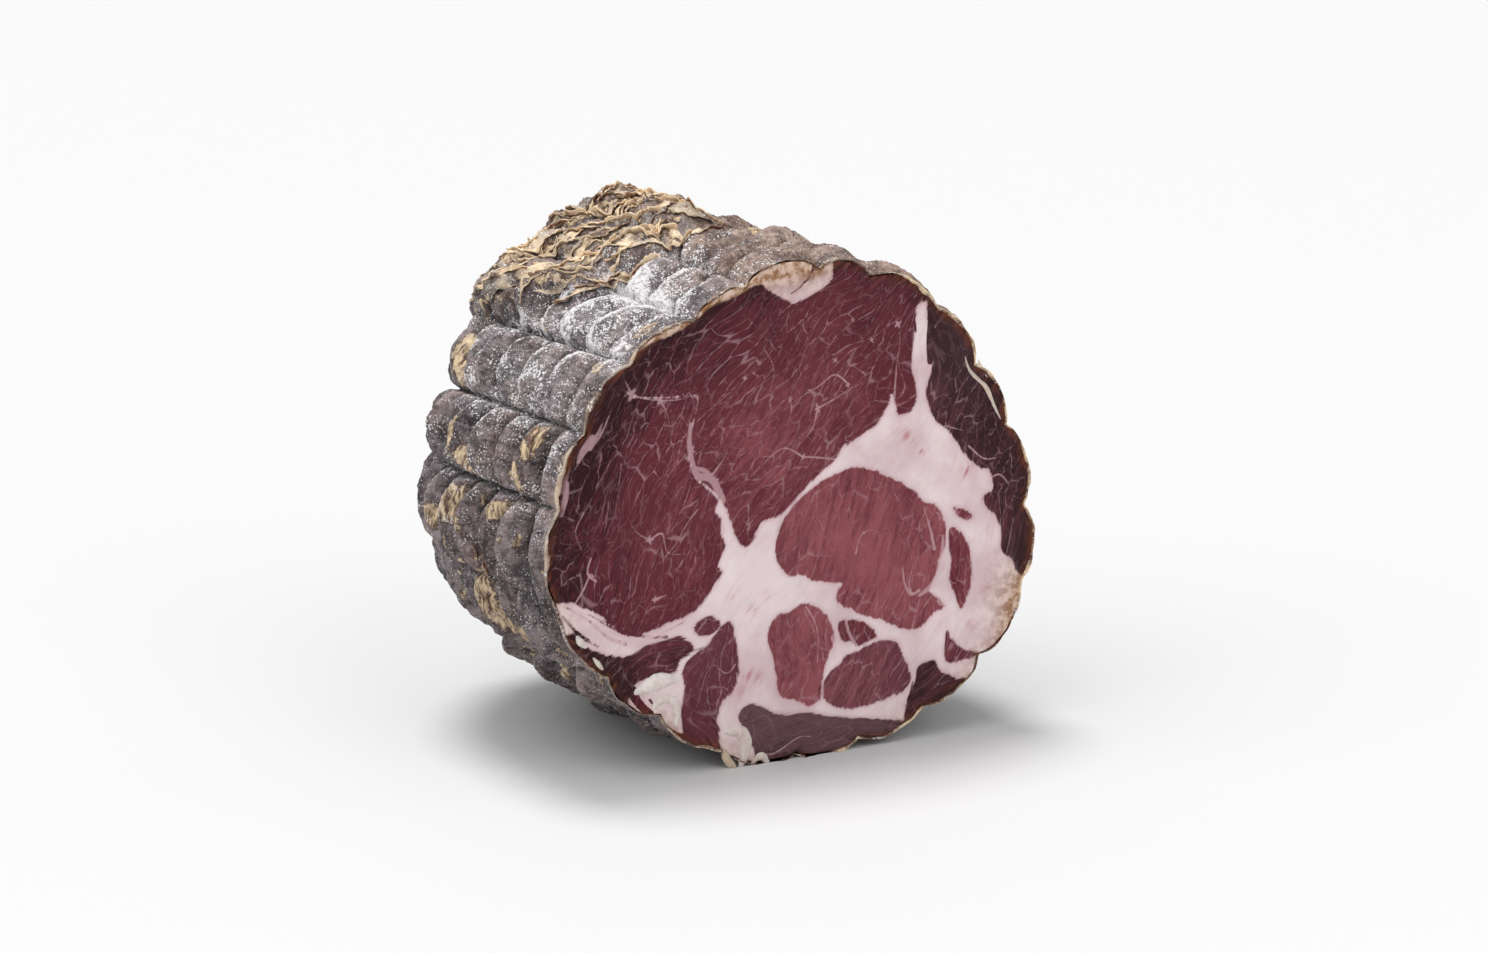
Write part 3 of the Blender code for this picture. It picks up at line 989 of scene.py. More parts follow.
@dataclass
class Complexion:
    """Where the casing is mouldy, tan or warm in tone, and where shade and highlight are painted on it."""

    skin: Skin
    mould_bearing: float = 119.0
    mould_spread: float = 15.0
    mould_depth: float = 0.024
    mould_reach: float = 0.017
    dust_bearing: float = 140.0
    dust_spread: float = 36.0
    dust_depth: float = 0.030
    dust_reach: float = 0.042
    rib_length: float = 0.0093
    # Line along each rib's crest, whitened as partly mould dust and partly painted highlight
    crest: float = 0.72
    crest_width: float = 0.09
    tan_spread: float = 36.0
    patches: tuple[Patch, ...] = (
        Patch(160.5, 0.0125, 4.5, 0.0020), Patch(169.0, 0.0145, 3.5, 0.0026), Patch(149.0, 0.0565, 7.0, 0.0026),
        Patch(170.0, 0.0375, 3.5, 0.0040), Patch(165.0, 0.0440, 4.0, 0.0012), Patch(179.0, 0.0400, 4.5, 0.0045),
        Patch(177.0, 0.0215, 2.6, 0.0028), Patch(188.0, 0.0245, 6.0, 0.0012), Patch(196.0, 0.0290, 6.0, 0.0022),
        Patch(202.0, 0.0270, 5.0, 0.0018), Patch(204.5, 0.0065, 1.6, 0.0014), Patch(201.0, 0.0080, 1.2, 0.0012),
        Patch(137.0, 0.0345, 1.8, 0.0016), Patch(129.0, 0.0032, 4.0, 0.0010), Patch(88.0, 0.0240, 3.0, 0.0024),
        Patch(76.0, 0.0340, 4.0, 0.0030), Patch(212.0, 0.0330, 4.0, 0.0016), Patch(184.0, 0.0500, 3.0, 0.0020),
        Patch(141.5, 0.0060, 2.0, 0.0018), Patch(218.0, 0.0200, 3.0, 0.0012),
    )
    scattered: int = 34
    seed: int = 5

    def __post_init__(self) -> None:
        """Draw the patches of the sides that the eye meets less."""
        draw = np.random.default_rng(self.seed)
        extra = []
        for _ in range(self.scattered):
            bearing = draw.uniform(205.0, 435.0) % 360.0
            extra.append(Patch(bearing, draw.uniform(0.004, 0.085), draw.uniform(2.0, 6.0), draw.uniform(0.001, 0.003)))
        self.patches = self.patches + tuple(extra)
        bearings, depths = (np.array([getattr(patch, name) for patch in self.patches]) for name in ("bearing", "depth"))
        self.ribs = self.skin.ribs_at(bearings, depths)

    def paint(self, piece: bpy.types.Object, spot: SkinSpot) -> None:
        """Store the casing's masks on a piece.

        Args:
            piece: Piece whose vertices are the spot's places, in order.
            spot: Places on the skin.
        """
        Modeller.paint(piece, "mould", self.mould(spot))
        Modeller.paint(piece, "tan", self.tan(spot))
        Modeller.paint(piece, "warm", self.warm(spot))
        # Painted shade: the grooves, and painted shadow under each crumpled layer of the fold, stored as the groove
        # mask
        painted_layer_shadow = np.maximum(smooth_step(0.74, 0.97, spot.layer), smooth_step(0.05, 0.0, spot.layer))
        groove = spot.groove * (1.0 - 0.8 * spot.cover) + spot.cover * painted_layer_shadow
        Modeller.paint(piece, "groove", np.clip(groove, 0.0, 1.0))
        across_skin = spot.bearing * self.skin.skin_per_degree
        Modeller.paint_vector(piece, "skin", np.stack((across_skin, spot.depth, spot.row * 7.3), axis=1))

    def mould(self, spot: SkinSpot) -> np.ndarray:
        """Coverage of white mould, 0 to 1; its line along each rib's crest is partly painted highlight."""
        away = turned_from(self.mould_bearing, spot.bearing)
        thick = oval_bell(away, spot.depth, (0.0, self.mould_depth), (self.mould_spread, self.mould_reach))
        away = turned_from(self.dust_bearing, spot.bearing)
        dust = oval_bell(away, spot.depth, (0.0, self.dust_depth), (self.dust_spread, self.dust_reach))
        beside_row = smooth_step(0.45, 0.95, np.abs(2.0 * spot.across - 1.0))
        crest_mould_and_highlight = bell(spot.along, self.crest, self.crest_width)
        uneven = self.skin.lumps.rough(spot.smooth, 0.008, 3)
        patchy = 1.0 + 0.8 * self.skin.creases.rough(spot.smooth, 0.005, 2)
        amount = thick * (0.56 + 0.66 * np.maximum(beside_row, crest_mould_and_highlight)) * patchy
        amount += dust * (0.20 + 0.28 * crest_mould_and_highlight + 0.22 * beside_row + 0.35 * uneven)
        amount += 0.05 + 0.12 * uneven + 0.13 * crest_mould_and_highlight
        return np.clip(amount * (1.0 - 0.7 * spot.cover), 0.0, 1.0)

    def tan(self, spot: SkinSpot) -> np.ndarray:
        """How far fat shows through the casing, 0 to 1; the line near each rib's crest is partly painted highlight."""
        total = np.zeros(len(spot.depth))
        for patch, rib in zip(self.patches, self.ribs):
            away = turned_from(patch.bearing, spot.bearing) / patch.turn
            back = (spot.rib + spot.along - rib) * self.rib_length / patch.reach
            total = np.maximum(total, np.exp(-((away**2 + back**2) ** 1.5)))
        round_skin = spot.bearing * self.skin.skin_per_degree
        long_way = np.stack((round_skin / 0.0075, spot.depth / 0.0030, spot.row * 3.1), axis=1)
        low_side = bell(turned_from(self.skin.scale_middle, spot.bearing), 0.0, self.tan_spread)
        streaks = smooth_step(0.25, 0.70, self.skin.creases.rough(long_way, 1.0, 2)) * (0.25 + 0.75 * low_side)
        front_edge = smooth_step(0.03, 0.09, spot.layer) * smooth_step(0.42, 0.16, spot.layer)
        crumple = spot.cover * (0.12 + 0.85 * front_edge + 0.55 * self.skin.creases.rough(spot.smooth, 0.005, 2))
        # Tan line near each rib's crest on the low side: partly fat showing through, partly painted highlight
        crest_tan_and_highlight = bell(spot.along, 0.80, 0.10) * low_side * 0.5
        return np.clip(np.maximum(np.maximum(total, 0.55 * streaks) + crest_tan_and_highlight * streaks, crumple), 0.0, 1.0)

    def warm(self, spot: SkinSpot) -> np.ndarray:
        """How far the skin is brown rather than grey, 0 to 1."""
        top = smooth_step(116.0, 98.0, spot.bearing) * smooth_step(20.0, 60.0, spot.bearing)
        uneven = 0.35 * self.skin.lumps.at(spot.smooth, 0.012)
        return np.clip(top * 0.8 + spot.cover * 0.35 + 0.10 + uneven, 0.0, 1.0)


@dataclass
class Casing:
    """The ribbed casing, in four stretches that meet in grooves, and its gathered end."""

    skin: Skin
    complexion: Complexion
    columns: int = 312
    rows: int = 308
    end_cells: int = 200
    end_pleats: int = 47
    end_pleat_height: float = 0.0007
    end_knot: float = 0.0022

    def stretch(self, region: Region, material: bpy.types.Material) -> bpy.types.Object:
        """Model one stretch from the rim to the last rib.

        Args:
            region: Which stretch.
            material: Casing finish.

        Returns:
            The finished piece.
        """
        piece, share = Modeller.grid(f"casing_{region.name.lower()}", self.rows, self.columns)
        first, last = region.value
        rows = first + (last - first) * share[:, 1]
        ribs = self.skin.first_rib_cut_at + (self.skin.rib_count - self.skin.first_rib_cut_at) * share[:, 0]
        spot = self.skin.spot(rows, ribs)
        Modeller.move(piece, self.skin.points(spot, self.skin.height(spot)))
        self.complexion.paint(piece, spot)
        Modeller.unwrap(piece, share)
        return Modeller.finish(piece, material)

    def gathered_end(self, material: bpy.types.Material) -> bpy.types.Object:
        """Model the puckered end behind the last rib."""
        piece, share = Modeller.grid("gathered_end", self.end_cells, self.end_cells)
        out, bearing = disc_of(share)
        bearing = (180.0 - bearing) % 360.0
        ribs = self.skin.rib_count + 1.0 - out
        spot = self.skin.spot(self.skin.rows_of(bearing), ribs)
        height = self.skin.height(spot)
        uneven = 2.0 * self.skin.lumps.at(spot.smooth, 0.008)
        folds = np.abs(np.sin(np.radians(bearing) * self.end_pleats / 2.0 + uneven)) - 0.5
        height += self.end_pleat_height * folds * smooth_step(0.0, 0.35, spot.along) * smooth_step(0.0, 0.15, out)
        height += self.end_knot * bell(out, 0.0, 0.13)
        Modeller.move(piece, self.skin.points(spot, height))
        self.complexion.paint(piece, spot)
        Modeller.unwrap(piece, share)
        return Modeller.finish(piece, material)


def disc_of(share: np.ndarray) -> tuple[np.ndarray, np.ndarray]:
    """Map a square grid evenly onto a disc.

    Args:
        share: Shares along both sides of the square.

    Returns:
        Distance from the middle, 0 to 1, and bearing in degrees.
    """
    side = share * 2.0 - 1.0
    x, y = side[:, 0], side[:, 1]
    wide = np.abs(x) >= np.abs(y)
    out = np.where(wide, x, y)
    safe = np.where(out == 0.0, 1.0, out)
    turn = np.where(wide, 45.0 * y / safe, 90.0 - 45.0 * x / safe)
    bearing = np.where(out < 0.0, turn + 180.0, turn) % 360.0
    return np.abs(out), bearing


def rounded(points: tuple[tuple[float, float], ...], closed: bool, steps: int = 4) -> np.ndarray:
    """Run a smooth curve through given points.

    Args:
        points: Points in millimetres.
        closed: Whether the curve returns to its start.
        steps: Pieces between two points.

    Returns:
        The curve's points in metres.
    """
    given = np.array(points) * MM
    if not closed:
        given = np.vstack((given[:1], given, given[-1:]))
    count = len(given)
    spans = range(count) if closed else range(1, count - 2)
    share = np.linspace(0.0, 1.0, steps, endpoint=False)[:, None]
    curve = []
    for index in spans:
        before, start, end, after = (given[(index + shift) % count] for shift in (-1, 0, 1, 2))
        line = 2.0 * start + (end - before) * share
        bend = (2.0 * before - 5.0 * start + 4.0 * end - after) * share**2
        curve.append((line + bend + (3.0 * start - before - 3.0 * end + after) * share**3) / 2.0)
    if not closed:
        curve.append(given[-1:])
    return np.vstack(curve)


def distance_to(curve: np.ndarray, closed: bool, points: np.ndarray, near: float) -> tuple[np.ndarray, np.ndarray]:
    """Distance of points from a curve.

    Args:
        curve: The curve's points.
        closed: Whether its last point joins its first.
        points: Points to measure.
        near: Distance past which no exact value is needed.

    Returns:
        The distances, capped at near, and the share along the curve of each nearest place.
    """
    found = np.full(len(points), near)
    share = np.zeros(len(points))
    inside = np.all((points > curve.min(0) - near) & (points < curve.max(0) + near), axis=1)
    index = np.nonzero(inside)[0]
    close = points[index]
    best = np.full(len(index), near)
    at = np.zeros(len(index))
    ends = np.roll(curve, -1, axis=0) if closed else curve[1:]
    starts = curve if closed else curve[:-1]
    for number, (start, end) in enumerate(zip(starts, ends)):
        run = end - start
        part = np.clip((close - start) @ run / max(run @ run, 1e-18), 0.0, 1.0)
        away = np.hypot(*(close - start - part[:, None] * run).T)
        nearer = away < best
        best = np.where(nearer, away, best)
        at = np.where(nearer, (number + part) / len(starts), at)
    found[index] = best
    share[index] = at
    return found, share


def inside_of(curve: np.ndarray, points: np.ndarray) -> np.ndarray:
    """Tell which points lie inside a closed curve."""
    result = np.zeros(len(points), dtype=bool)
    x, y = points.T
    for start, end in zip(curve, np.roll(curve, -1, axis=0)):
        between = (start[1] > y) != (end[1] > y)
        rise = end[1] - start[1]
        crossing = start[0] + (y - start[1]) * (end[0] - start[0]) / (rise if rise else 1.0)
        result ^= between & (x < crossing)
    return result


@dataclass(frozen=True)
class Muscle:
    """One muscle of the cut face; its outline is in millimetres from the middle of the section."""

    name: str
    tone: float
    grey: float
    fibre: float
    outline: tuple[tuple[float, float], ...]


@dataclass(frozen=True)
class Vein:
    """A line of fat, lean or crust on the cut face, in millimetres, its width at both ends and its strength."""

    points: tuple[tuple[float, float], ...]
    first_width: float
    last_width: float
    strength: float = 1.0


MUSCLES = (
    Muscle("upper", 0.50, 0.05, 48.0, (
        (-43.5, 28), (-38.5, 33), (-31, 36.5), (-28, 37.2), (-22, 40), (-19, 42), (-12, 44.2), (-8, 45.5), (-5, 43.5),
        (-0.5, 41.4), (4, 42.8), (8, 45.5), (9, 51), (20, 52), (30, 46), (31, 40), (27.5, 38.5), (26.6, 33.5),
        (26, 28), (27, 23), (27.2, 20), (25.4, 17.6), (23, 17.4), (22.4, 19.4), (21.6, 21.5), (20.8, 19.4),
        (18.4, 16.2), (15.4, 14.4), (11, 12.3), (8.8, 10), (6.2, 8.2), (2.6, 5.6), (-1.6, 1.6), (-4, 0.2),
        (-7.6, -0.6), (-8.6, -2.4), (-9.8, -4.2), (-11.3, -5), (-12.8, -3.8), (-14.6, 0.6), (-16.2, 4.2),
        (-19.2, 7.4), (-21.8, 9.4), (-23.3, 12.6), (-24, 17), (-22.6, 20.5), (-21.6, 25), (-24, 25.4),
        (-30, 25.8), (-36, 26.6),
    )),
    Muscle("left", 0.52, 0.05, 62.0, (
        (-46, 28), (-40, 27.6), (-34, 26.2), (-27.5, 25.6), (-21.8, 25.2), (-22.6, 20.4), (-23.9, 17), (-23.3, 13),
        (-22.2, 9.6), (-19.8, 7.4), (-17.4, 4.9), (-17.9, 2.6), (-16.6, 0.6), (-16.4, -2.4), (-15.6, -4.4),
        (-16.6, -6.2), (-17.2, -8), (-16.4, -9.6), (-18.2, -12), (-20, -14), (-21.6, -15.8), (-24, -17),
        (-28, -17.9), (-31.4, -18.8), (-34.6, -19.2), (-37.6, -19.2), (-40.4, -16.8), (-43, -14.6), (-47, -12.4),
        (-51, -11.2), (-58, -10), (-60, 0), (-58, 10), (-54, 20), (-48, 26),
    )),
    Muscle("eye", 0.86, 0.05, 70.0, (
        (-4.5, -5.4), (-3.6, -1.8), (-1.3, 1), (1.2, 3.2), (5.4, 5.8), (10, 7.4), (14, 7.9), (18, 6.6), (22.5, 4.5),
        (26.2, 2.2), (29, -0.6), (31.8, -1.6), (33.6, -3.8), (34.5, -7), (34, -10.6), (32.6, -13.8), (31.4, -17),
        (30.4, -18.8), (32.2, -20.2), (34.2, -22.2), (31.8, -23.4), (29.6, -25.2), (27.2, -26.2), (23.8, -25.4),
        (20.2, -23.6), (15.8, -22), (12.4, -20.2), (9.6, -18.6), (9.4, -16.2), (10.4, -15), (8, -14.4),
        (4.2, -13.6), (1.4, -12.2), (-1.2, -12), (-3, -10.7), (-4.2, -8.2),
    )),
    Muscle("strip", 0.74, 0.0, 85.0, (
        (35.4, -6.6), (38.2, -7.8), (39.8, -10.8), (40.4, -14.7), (40.1, -18.8), (39.1, -22), (37.9, -23.2),
        (36.6, -20.2), (35.4, -17.2), (35.6, -13.2), (35, -9.8),
    )),
    Muscle("chip", 0.62, 0.0, 30.0, ((36, -2.6), (38.1, -2.9), (40.6, -4.6), (39.6, -5.5), (37.2, -4.5))),
    Muscle("outer_right", 0.24, 0.28, 75.0, (
        (29.6, 43), (36, 44), (48, 32), (60, 12), (62, -12), (54.5, -17.6), (51.4, -17.4), (50, -14.6),
        (47.6, -12.4), (47.2, -8.2), (45.8, -5), (43.4, -2.8), (43.2, -0.8), (45.4, 0.2), (44.4, 4), (41.8, 5),
        (38.7, 7.8), (36.3, 11), (34, 13.6), (31.6, 15.6), (30, 18.6), (29.4, 21.6), (30.4, 24.6), (31, 27),
        (30.2, 29.5), (29.8, 34),
    )),
    Muscle("triangle", 0.60, 0.1, 80.0, (
        (34.8, -27.6), (36.3, -29.6), (38.6, -31.6), (42, -33), (39.2, -33.8), (34.6, -33.6),
    )),
    Muscle("lower_right", 0.30, 0.25, 20.0, (
        (27.6, -36.8), (28.2, -33.8), (32, -33.1), (33.5, -35.4), (37, -37.2), (42, -38), (45, -35.6), (48, -40),
        (40, -46), (30, -50), (25.4, -46), (25.2, -42.6), (26, -39.6),
    )),
    Muscle("mid_left", 0.90, 0.08, 88.0, (
        (-5.7, -21.2), (-4, -19.4), (-1.4, -19.1), (0.4, -18.2), (2.4, -18), (4.6, -18.8), (6.8, -20.6),
        (8.4, -23.4), (8.8, -26.4), (7.4, -29), (6.5, -31.6), (6.1, -34.8), (5.6, -37.6), (3, -38.5), (0, -37),
        (-2.6, -36.2), (-4, -34.8), (-4.4, -31.2), (-5.3, -27.2), (-6.1, -24.2),
    )),
    Muscle("mid_small", 0.68, 0.05, 70.0, (
        (10, -22.3), (12.4, -22.4), (15.1, -23), (17.2, -24.4), (18.4, -26.6), (16, -27.4), (14.3, -28),
        (12.4, -26.7), (10.8, -26.4), (9.6, -24.2),
    )),
    Muscle("mid_right", 0.74, 0.22, 60.0, (
        (5.9, -35.6), (7.8, -32.4), (10, -31), (11.5, -29.5), (14.4, -28.9), (17.2, -27.8), (20.4, -27.5),
        (23.4, -28.4), (24.4, -31), (26, -33.8), (26.7, -36.4), (25, -38.4), (21.6, -39.2), (17, -40.2),
        (12.6, -40.4), (9.6, -39.7), (7, -38.2),
    )),
    Muscle("bottom", 0.56, 0.85, 5.0, (
        (-12.6, -38), (-10.4, -36.4), (-7, -37.6), (-3.4, -39.2), (3.4, -40), (10.2, -41.6), (17.2, -43), (25, -44.6),
        (30, -47), (22, -54), (0, -56), (-9, -52), (-8.6, -49), (-9.4, -45), (-11.6, -41.6),
    )),
    Muscle("low_left_inner", 0.56, 0.20, 75.0, (
        (-16.4, -20), (-14.4, -19.6), (-13.4, -23.4), (-12.8, -28.4), (-13.8, -33), (-16.2, -34.8), (-17.4, -38),
        (-17, -42), (-18, -47), (-26, -46), (-25, -41), (-25.4, -35.6), (-24.6, -31.4), (-25, -27.8),
        (-23, -25.3), (-20, -23.8), (-18.5, -22),
    )),
    Muscle("low_left_spot", 0.50, 0.15, 0.0, (
        (-22.5, -19.6), (-21.2, -18.4), (-18.8, -17.8), (-16.9, -19.2), (-17.3, -20.8), (-19.4, -21.6),
        (-21.6, -21.2),
    )),
    Muscle("low_left_outer", 0.30, 0.15, 20.0, (
        (-48.4, -17.6), (-45, -21), (-40.8, -22.8), (-36.4, -23.4), (-33.2, -21.9), (-30, -21.5), (-25.8, -20.9),
        (-23.2, -22.6), (-22.9, -24.2), (-25.5, -25.6), (-26.8, -27.7), (-31.2, -28.2), (-34.4, -28.6),
        (-36.4, -30.2), (-37, -33.6), (-34, -37), (-44, -37), (-56, -22),
    )),
)

# Main veins of fat inside the muscles
FAT_VEINS = (
    Vein(((-47.2, 15.3), (-46.1, 17.1), (-44.2, 19.1)), 0.9, 2.2, 0.9),
    Vein(((-44.6, 18.0), (-42.9, 20.2), (-42.1, 22.0)), 1.6, 0.3, 0.8),
    Vein(((-50.4, 12.6), (-49.7, 11.0), (-50.0, 8.3), (-51.1, 5.8)), 1.2, 1.5, 0.95),
    Vein(((-48.9, 14.3), (-49.9, 11.8), (-51.0, 10.0)), 0.4, 1.3, 0.8),
    Vein(((-48.0, 13.8), (-45.5, 17.4), (-45.0, 20.0)), 0.3, 0.6, 0.7),
    Vein(((22, 18), (22.3, 22.3), (22.7, 28)), 1.0, 0.25, 0.8),
    Vein(((22.7, 27), (23.4, 32.2), (22.6, 36), (20.8, 38.4)), 0.35, 0.15, 0.7),
    Vein(((28.4, 19), (28.3, 24), (28.7, 29.6), (28.4, 33.6), (29.2, 38.6)), 1.6, 1.0),
    Vein(((-7.1, 33), (-8.6, 30.4), (-11.3, 27.8), (-14.6, 25.4), (-18.4, 22.8), (-21.8, 20.4)), 0.1, 0.35, 0.7),
    Vein(((-7.1, 33), (-5.2, 30), (-5, 27), (-6.4, 24)), 0.25, 0.1),
    Vein(((-23, 20), (-23.4, 17), (-23, 13.4), (-21.8, 10.1), (-18.5, 8.8), (-16.3, 4.7)), 0.9, 1.7),
    Vein(((-24.6, 14.6), (-22.4, 11.8), (-19.6, 10.4), (-17.4, 7.2)), 0.2, 1.5),
    Vein(((11.6, 24.6), (8.6, 26.6), (5, 24.6), (1.6, 23.2), (-3, 20.6)), 0.5, 0.1),
    Vein(((8.7, 29.4), (12.4, 29.6), (17, 32.6), (19, 34.4)), 0.25, 0.1, 0.6),
    Vein(((9, 27.4), (11.6, 24.3), (14.6, 25.6)), 0.2, 0.1, 0.55),
    Vein(((4.9, 20.4), (3.6, 16.4), (0.4, 13.4)), 0.5, 0.1),
    Vein(((4.9, 20.4), (9, 22), (12, 23.4), (15.4, 24.6)), 0.4, 0.1),
    Vein(((1.6, 11.2), (-2.4, 13.3), (-6, 11.7), (-10, 8.6)), 0.45, 0.1),
    Vein(((1.6, 11.2), (5.6, 10.6), (8.6, 10)), 0.4, 0.4),
    Vein(((-35.7, 26.9), (-32.6, 25.8), (-29.7, 25.3), (-26, 25), (-22.2, 25.6)), 0.35, 0.2),
    Vein(((-35.7, 26.9), (-37.4, 30.2)), 0.7, 0.05),
    Vein(((-29.7, 25.3), (-28.2, 22.6), (-27.6, 19.4)), 0.5, 0.05),
    Vein(((-18.6, 9.6), (-16, 12.6), (-14.2, 15.6)), 0.5, 0.1),
    Vein(((-32, -1.4), (-34.8, 0.4), (-36.8, 3.6)), 0.4, 0.05),
    Vein(((-32, -1.4), (-29.4, -0.4), (-28.2, -4.2), (-24.6, -5)), 0.5, 0.1),
    Vein(((-31, -13.1), (-28.4, -12.4)), 0.7, 0.1),
    Vein(((-30, -6.4), (-26.6, -3), (-24, 0.8), (-21.6, 3.4)), 0.15, 0.3),
    Vein(((-44.6, -3.4), (-45.4, -6.2), (-43.6, -8)), 0.4, 0.6),
    Vein(((-46.6, -1.6), (-47.8, 2), (-46, 5.6)), 0.2, 0.3),
    Vein(((-49, -13), (-46.4, -9.6), (-44.8, -6.6)), 0.4, 0.5),
    Vein(((-40, 24.6), (-42, 20.4), (-44.6, 17.4)), 0.1, 0.7),
    Vein(((-38, 14), (-38.6, 10), (-40, 6)), 0.3, 0.05),
    Vein(((13.6, -9.4), (14.4, -6.6), (15.6, -5.2), (18, -5)), 0.35, 0.1),
    Vein(((24.4, -13.4), (25, -16.8), (26.4, -19), (28.4, -18.4)), 0.35, 0.7),
    Vein(((26.8, -13.4), (26, -16.4), (26.2, -18.6)), 0.1, 0.6),
    Vein(((33.4, -13), (32.4, -16), (30.6, -18.2), (28.4, -19.4)), 1.6, 0.8),
    Vein(((33.8, -8), (33.6, -12), (33.6, -16), (33.8, -21)), 0.5, 2.6),
    Vein(((29.2, -1.6), (30.8, -6.4), (31.8, -10.4)), 0.2, 0.9),
    Vein(((18.6, 0.4), (17.4, -4), (14.6, -9.8), (11.4, -13.6)), 0.05, 0.2, 0.5),
    Vein(((4.6, 3.6), (3, -2.6), (2.4, -8)), 0.1, 0.2, 0.5),
    Vein(((2.4, -18.6), (4.2, -21.4), (5.2, -25), (5, -30)), 0.45, 0.15),
    Vein(((11.4, -22.2), (12.2, -25), (14, -28)), 0.7, 0.8),
    Vein(((9, -25.6), (9.6, -28.4), (7.4, -31.6)), 2.0, 0.7),
    Vein(((6.2, -34), (6.6, -38.4), (10, -40.6)), 0.7, 0.9),
    Vein(((-21.6, -34.6), (-19, -27.6), (-15.4, -29.6), (-13.4, -28)), 0.1, 0.35),
    Vein(((-8, -46.6), (-4.6, -47), (0.6, -44.6), (3.6, -44.8)), 0.45, 0.2),
    Vein(((34, 14), (38.6, 12.6)), 0.4, 0.1),
    Vein(((39.6, 9.4), (43, 6.6), (46, 6.4)), 0.5, 0.3),
    Vein(((43, 1.6), (46.6, 3), (49, 1)), 0.5, 0.3),
)

# Knots of fat where veins meet: place in millimetres and radius
FAT_KNOTS = (
    (-35.7, 26.9, 1.05), (-29.7, 25.3, 0.85), (4.9, 20.4, 0.75), (8.7, 29.4, 0.45), (17.0, 32.6, 0.45),
    (1.6, 11.2, 0.6),
    (22.9, 35.2, 0.7), (-32.0, -1.4, 0.75), (-31.0, -13.1, 0.55), (-11.3, 27.8, 0.5), (11.6, 24.3, 0.45),
    (-22.9, 15.0, 0.7), (-18.0, 8.9, 0.7), (-2.4, 13.3, 0.3), (26.3, -18.6, 0.6), (15.4, -5.4, 0.35),
    (-44.4, -7.0, 0.5),
)

# Streaks of lean in the drawn-out fat of the lower left, and reddish lines in the fat
LEAN_STREAKS = (
    Vein(((30.2, 41.0), (30.4, 36.0), (30.0, 31.6), (30.2, 27.2)), 0.9, 1.3, 1.0),
    Vein(((26.0, 40.0), (26.4, 36.6), (27.0, 33.4)), 1.2, 0.3, 1.0),
    Vein(((-49.8, -12.4), (-45.1, -15.5), (-41.3, -19.1), (-37.5, -20.9)), 0.6, 1.1, 0.66),
    Vein(((-50.8, -14.0), (-47.1, -18.0), (-43.3, -20.6)), 0.9, 0.8, 0.68),
    Vein(((-45.1, -14.3), (-40.2, -17.5), (-33.6, -20.0), (-28.6, -20.5)), 0.5, 0.9, 0.60),
    Vein(((-47.6, -13.2), (-43.2, -15.4), (-38.6, -17.2), (-34.2, -18.2)), 0.35, 0.45, 0.52),
    Vein(((4.0, 50.4), (3.4, 47.0), (1.0, 44.4), (-1.2, 43.2)), 1.1, 0.5, 0.8),
    Vein(((1.6, 50.0), (1.0, 47.2), (-1.0, 45.0)), 0.35, 0.25, 0.6),
    Vein(((-34.3, -20.9), (-29.5, -19.8), (-24.7, -18.2)), 0.3, 0.5, 0.6),
    Vein(((-36.0, -30.5), (-34.5, -33.1), (-32.2, -35.3)), 2.2, 1.6, 1.0),
    Vein(((-30.9, -37.1), (-28.3, -39.2), (-25.7, -41.0)), 1.2, 1.8, 1.0),
    Vein(((-32.2, -32.6), (-30.9, -34.5)), 0.8, 0.4, 0.9),
    Vein(((-37, -20.8), (-32, -20.6), (-27, -19.4), (-22.6, -17.8)), 0.2, 0.1, 0.5),
    Vein(((24.6, 13.4), (26.8, 12), (28.6, 9.6)), 0.1, 0.15, 0.5),
    Vein(((-9.6, -17.2), (-9.6, -21)), 0.3, 0.1, 0.45),
)

# Gaps and creases that opened as the meat dried
CRACKS = (
    Vein(((-27.4, -25.8), (-25.4, -25.4), (-23.6, -24.4), (-20.4, -23.8)), 0.3, 0.2, 0.6),
    Vein(((3.2, 50.2), (4.2, 47.8), (3.6, 45.8), (1.6, 45.2)), 0.3, 0.05, 0.55),
    Vein(((-4.6, 50.6), (-3.4, 48.6), (-4.2, 46.8)), 0.25, 0.05, 0.4),
    Vein(((43.6, 26.4), (44.4, 24.8), (46.6, 24)), 0.8, 0.2),
    Vein(((27, -37), (26.2, -40)), 0.3, 0.2),
    Vein(((-51.8, 7.4), (-51, 3.6), (-52, -1.4), (-53, -6)), 0.35, 0.1, 0.8),
    Vein(((-50.8, 13), (-51.8, 9), (-52.8, 4)), 0.4, 0.2, 0.7),
)

# Reddish spots in the fat: place in millimetres, radius, strength
STAINS = (
    (24.8, 13.2, 1.0, 0.75), (26.6, 11.8, 0.9, 0.6), (28.6, 9.4, 0.7, 0.8), (39.0, 4.4, 1.3, 0.8),
    (40.4, 5.2, 0.9, 0.5),
    (-9.8, -17.6, 1.2, 0.45), (-6.6, -15.0, 0.9, 0.35), (-10.8, -30.4, 1.3, 0.6), (-8.0, -31.4, 1.1, 0.7),
    (-12.0, -33.6, 1.6, 0.35), (44.0, -20.0, 1.4, 0.35), (40.6, -26.4, 1.5, 0.4), (-14.4, -14.6, 1.0, 0.25),
)


